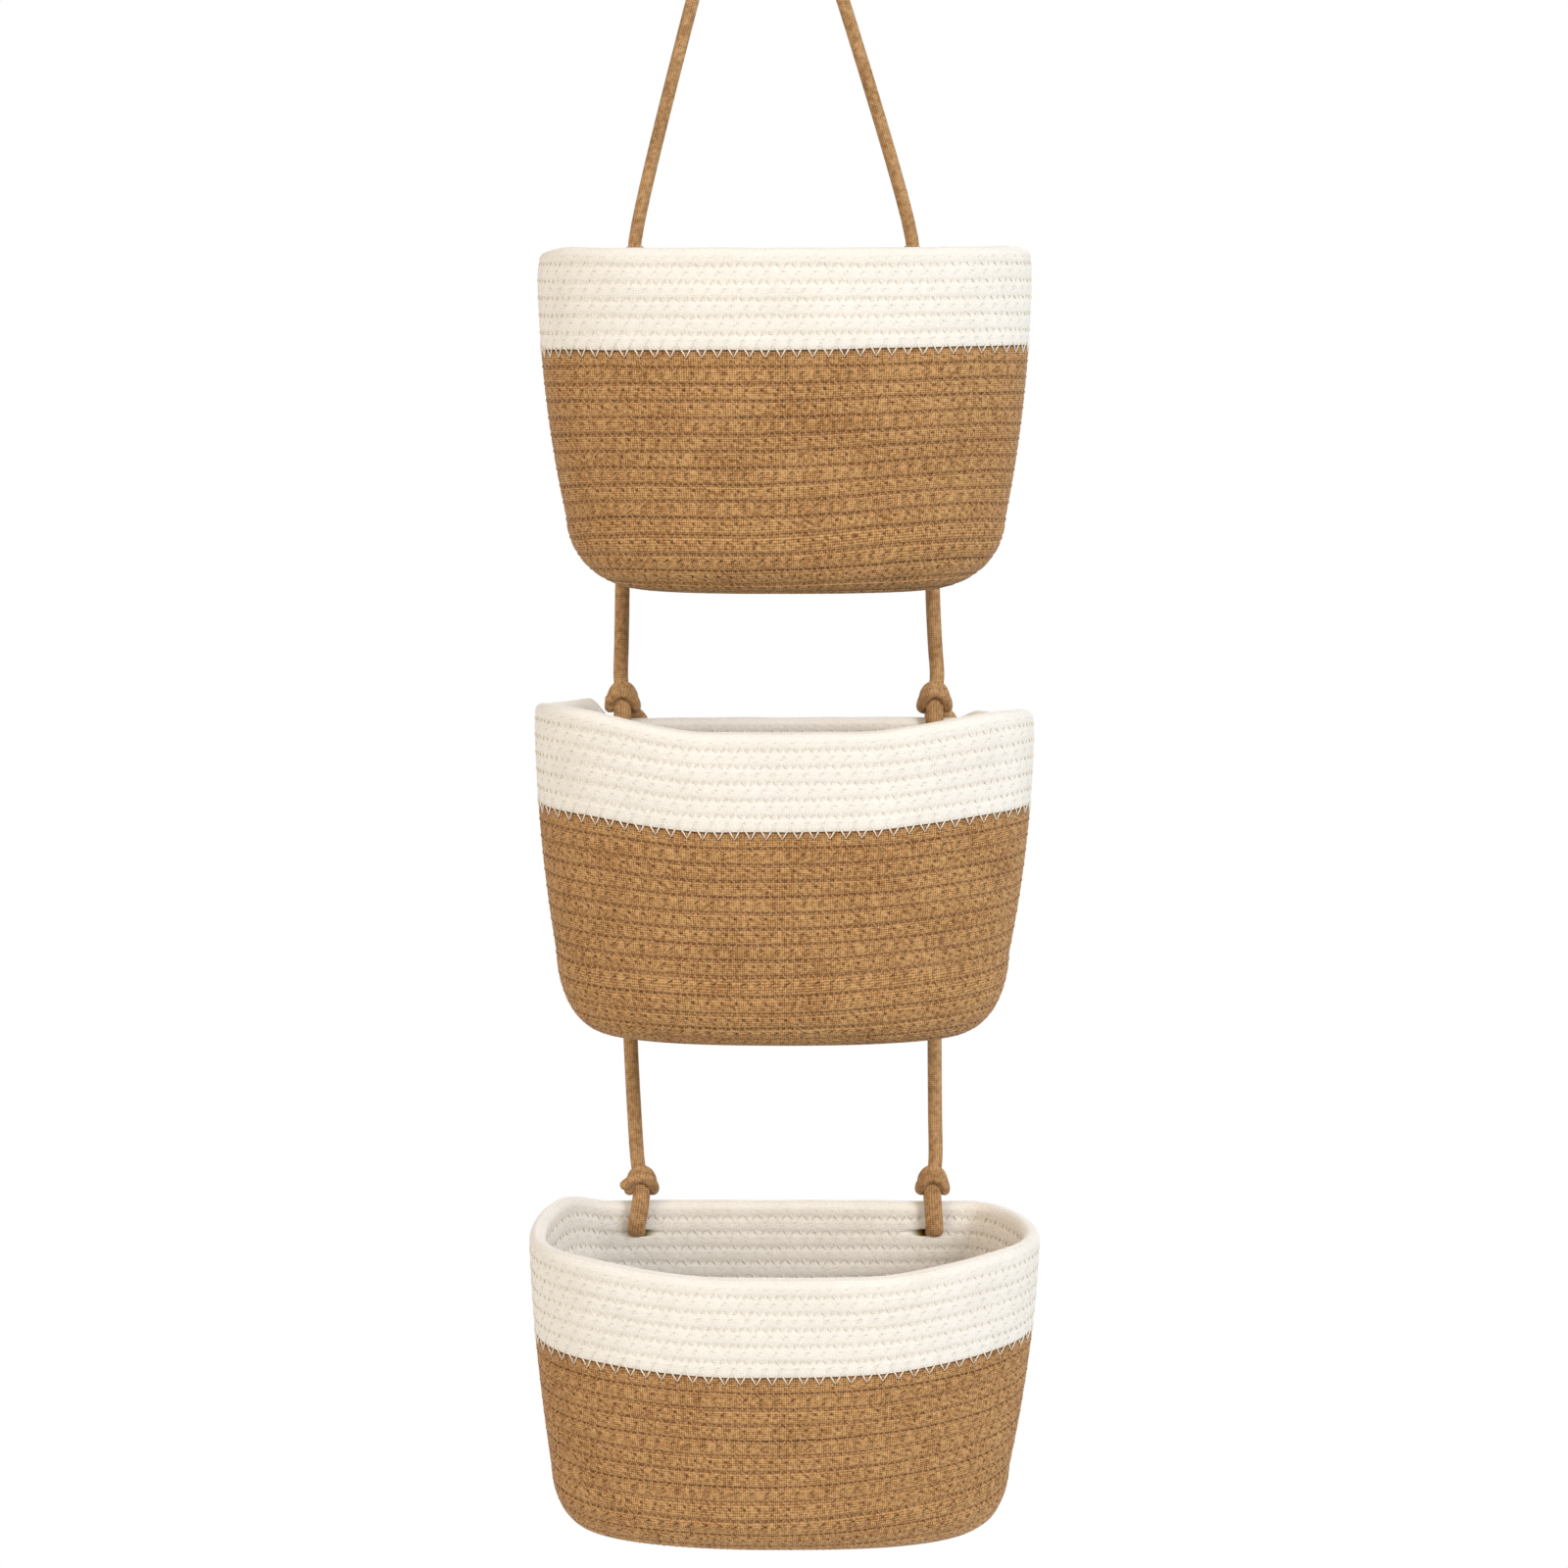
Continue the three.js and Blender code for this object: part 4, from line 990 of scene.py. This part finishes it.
def rim_loop(tier, side):
    """The rope through the slit under two courses, flattened against them, and its knot."""
    knot = knot_place(tier, side)
    x, _, collar = knot
    lean = tier["leans"][SIDES.index(side)]
    rim = tier["rim"] - tier["back_dip"]
    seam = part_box(f"{tier['name']}_{side}_rim_loop")[0][2] + PRESSED_THICKNESS / 2 + LOOP_RISE
    leg = HALF_COURSE + LOOP_CLEARANCE + PRESSED_THICKNESS / 2
    bend = PRESSED_THICKNESS / 2 + LOOP_CLEARANCE
    wall = tier["wall_y"]
    rim_x, low_x, seam_x = x + 0.3 * lean, x + 0.9 * lean, x + lean
    rim_z, low_z, middle_z = rim - HALF_COURSE / 2, seam + 1.4 * bend, (collar + rim) / 2
    # From the knot down inside the basket, out through the slit, and up the back to the knot
    line = smooth_route([
        (x, -2.5 * MM, collar + 3 * MM), (x, -4.0 * MM, middle_z + 1 * MM),
        (rim_x, wall - leg, rim_z), (low_x, wall - leg, low_z), (seam_x, wall - leg + bend, seam),
        (seam_x, wall + leg - bend, seam), (low_x, wall + leg, low_z), (rim_x, wall + leg, rim_z),
        (x, wall + leg - bend, middle_z), (x, 1.5 * MM, collar + 2 * MM)])
    up_share = np.clip((line[:, 2] - seam) / (collar - seam), 0, 1)
    width = PRESSED_WIDTH / 2 * (1 - LOOP_NARROWING * up_share)
    thickness = PRESSED_THICKNESS / 2 * (1 + LOOP_THICKENING * up_share)
    loop = rope_piece(f"{tier['name']}_{side}_loop", line, (width, thickness), across=(1.0, 0.0, 0.0))
    mirror = (-1 if side == "left" else 1, 1, 1)
    hitch = smooth_route(knot + np.array(HITCH_ROUTE) * mirror * MM, HITCH_STEP)
    hitch = rope_piece("hitch", hitch, KNOT_ROPE_RADIUS, has_round_ends=True)
    tail_share = tier["tail_shares"][SIDES.index(side)]
    tail = smooth_route(knot + np.array(TAIL_ROUTES[side]) * tail_share * MM, TAIL_STEP)
    tail = rope_piece("tail", tail, TAIL_RADIUS, has_round_ends=True)
    loop = joined(f"{tier['name']}_{side}_loop_and_knot", [loop, hitch, tail])
    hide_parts(f"{tier['name']}_{side}_rim_loop")
    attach(loop, tier["body"])


for tier in TIERS.values():
    for side in SIDES:
        rim_loop(tier, side)


# Baskets

def add_basket(tier):
    """The band, wall and base of one basket, and the threads that hold them together."""
    name, body = tier["name"], tier["body"]
    cream = coil(tier, f"{name}_undyed_rim_band", 0, CREAM_COURSES, has_plain_inside=False,
                 groove_out=CREAM_GROOVE, dimple=CREAM_DIMPLE, material=UNDYED_ROPE)
    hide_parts(f"{name}_cream_band")
    wall = coil(tier, f"{name}_tan_coiled_wall", CREAM_COURSES, tier["courses"], has_plain_inside=True,
                groove_out=TAN_GROOVE, dimple=TAN_DIMPLE, material=TAN_ROPE)
    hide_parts(f"{name}_tan_wall")
    base = base_coil(tier, f"{name}_coiled_base", TAN_ROPE)
    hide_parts(f"{name}_base")
    last_seam = tier["courses"] + base_turns(tier) - 1
    white = stitching(tier, f"{name}_white_stitches", 1, CREAM_COURSES - 1,
                      WHITE_THREAD_RADIUS, NEEDLE_SINK, WHITE_THREAD)
    joining = stitching(tier, f"{name}_white_joining_stitches", CREAM_COURSES, CREAM_COURSES,
                        JOINING_THREAD_RADIUS, JOINING_SINK, WHITE_THREAD)
    tan = stitching(tier, f"{name}_tan_stitches", CREAM_COURSES + 1, last_seam,
                    TAN_THREAD_RADIUS, NEEDLE_SINK, TAN_THREAD)
    for piece in (cream, wall, base, white, joining, tan):
        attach(piece, body)


for tier in TIERS.values():
    add_basket(tier)


# Floor and light

FLOOR_REACH = 1.5
FLOOR_LEVEL = -2.1
FLOOR_SIDES = 64
FLOOR_FADE_SHARE = 0.3
FLOOR_GLOW = (0.1, 0.6)
WORLD_LIGHT = 0.55


def add_floor():
    """A round floor in matt white paint, far below the object. For the camera alone, it glows
    towards its edge, so that it runs into the white studio."""
    mesh = bpy.data.meshes.new("floor")
    turns = [2 * math.pi * step / FLOOR_SIDES for step in range(FLOOR_SIDES)]
    edge = [(FLOOR_REACH * math.cos(a), FLOOR_REACH * math.sin(a), FLOOR_LEVEL) for a in turns]
    mesh.from_pydata(edge, [], [range(FLOOR_SIDES)])
    floor = placed("floor", mesh)
    material = empty_material("matt_white_paint")
    tree = material.node_tree
    place = add_node(tree, "ShaderNodeTexCoord")["Object"]
    on_floor = add_node(tree, "ShaderNodeVectorMath", [
        (0, place), (1, (0, 0, -FLOOR_LEVEL))], operation="ADD")[0]
    distance = add_node(tree, "ShaderNodeVectorMath", [(0, on_floor)], operation="LENGTH")["Value"]
    fade = add_node(tree, "ShaderNodeMapRange", [
        ("Value", distance), ("From Min", FLOOR_FADE_SHARE * FLOOR_REACH), ("From Max", FLOOR_REACH),
        ("To Min", FLOOR_GLOW[0]), ("To Max", FLOOR_GLOW[1])])[0]
    seen = add_node(tree, "ShaderNodeLightPath")["Is Camera Ray"]
    glow = add_node(tree, "ShaderNodeMath", [(0, fade), (1, seen)], operation="MULTIPLY")[0]
    shader = add_node(tree, "ShaderNodeBsdfPrincipled", [
        ("Base Color", linear("F6F6F4")), ("Roughness", 0.9), ("Emission Color", (1, 1, 1, 1)),
        ("Emission Strength", glow)])[0]
    add_node(tree, "ShaderNodeOutputMaterial", [("Surface", shader)])
    mesh.materials.append(material)


def add_area_light(name, place, aim, size, power, colour):
    """A soft lamp that the camera doesn't see; metres and watts."""
    light = bpy.data.lights.new(name, "AREA")
    light.size = size
    light.energy = power
    light.color = linear(colour)[:3]
    lamp = placed(name, light)
    lamp.location = place
    way = np.subtract(aim, place)
    lamp.rotation_euler = (
        math.atan2(math.hypot(way[0], way[1]), -way[2]), 0, math.atan2(way[0], -way[1]) + math.pi)
    lamp.visible_camera = False


def add_world():
    """A white studio: seen as white, and dimmer as a light than the lamps."""
    world = bpy.data.worlds.new("white_studio")
    world.use_nodes = True
    tree = world.node_tree
    tree.nodes.clear()
    seen = add_node(tree, "ShaderNodeLightPath")["Is Camera Ray"]
    strength = add_node(tree, "ShaderNodeMapRange", [
        ("Value", seen), ("To Min", WORLD_LIGHT), ("To Max", 1.0)])[0]
    background = add_node(tree, "ShaderNodeBackground", [
        ("Color", (1, 1, 1, 1)), ("Strength", strength)])[0]
    add_node(tree, "ShaderNodeOutputWorld", [("Surface", background)])
    bpy.context.scene.world = world


add_floor()
add_world()
# A cool key from the right, a warm fill from the left, and weaker lamps in front and behind
for lamp in (
        ("key_softbox", (3.6, -3.4, 1.8), (0, -0.05, -0.6), 1.8, 172, "FCFCFF"),
        ("front_softbox", (-0.3, -4.4, 2.2), (0, -0.05, -0.6), 2.2, 18, "FFFFFF"),
        ("left_fill_softbox", (-3.2, -2.4, 0.4), (0, -0.05, -0.6), 2.0, 66, "FFE8CC"),
        ("back_softbox", (0.8, 3.4, 0.8), (0, 0, -0.5), 2.2, 60, "FFFFFF")):
    add_area_light(*lamp)
bpy.context.scene.view_settings.view_transform = "Standard"
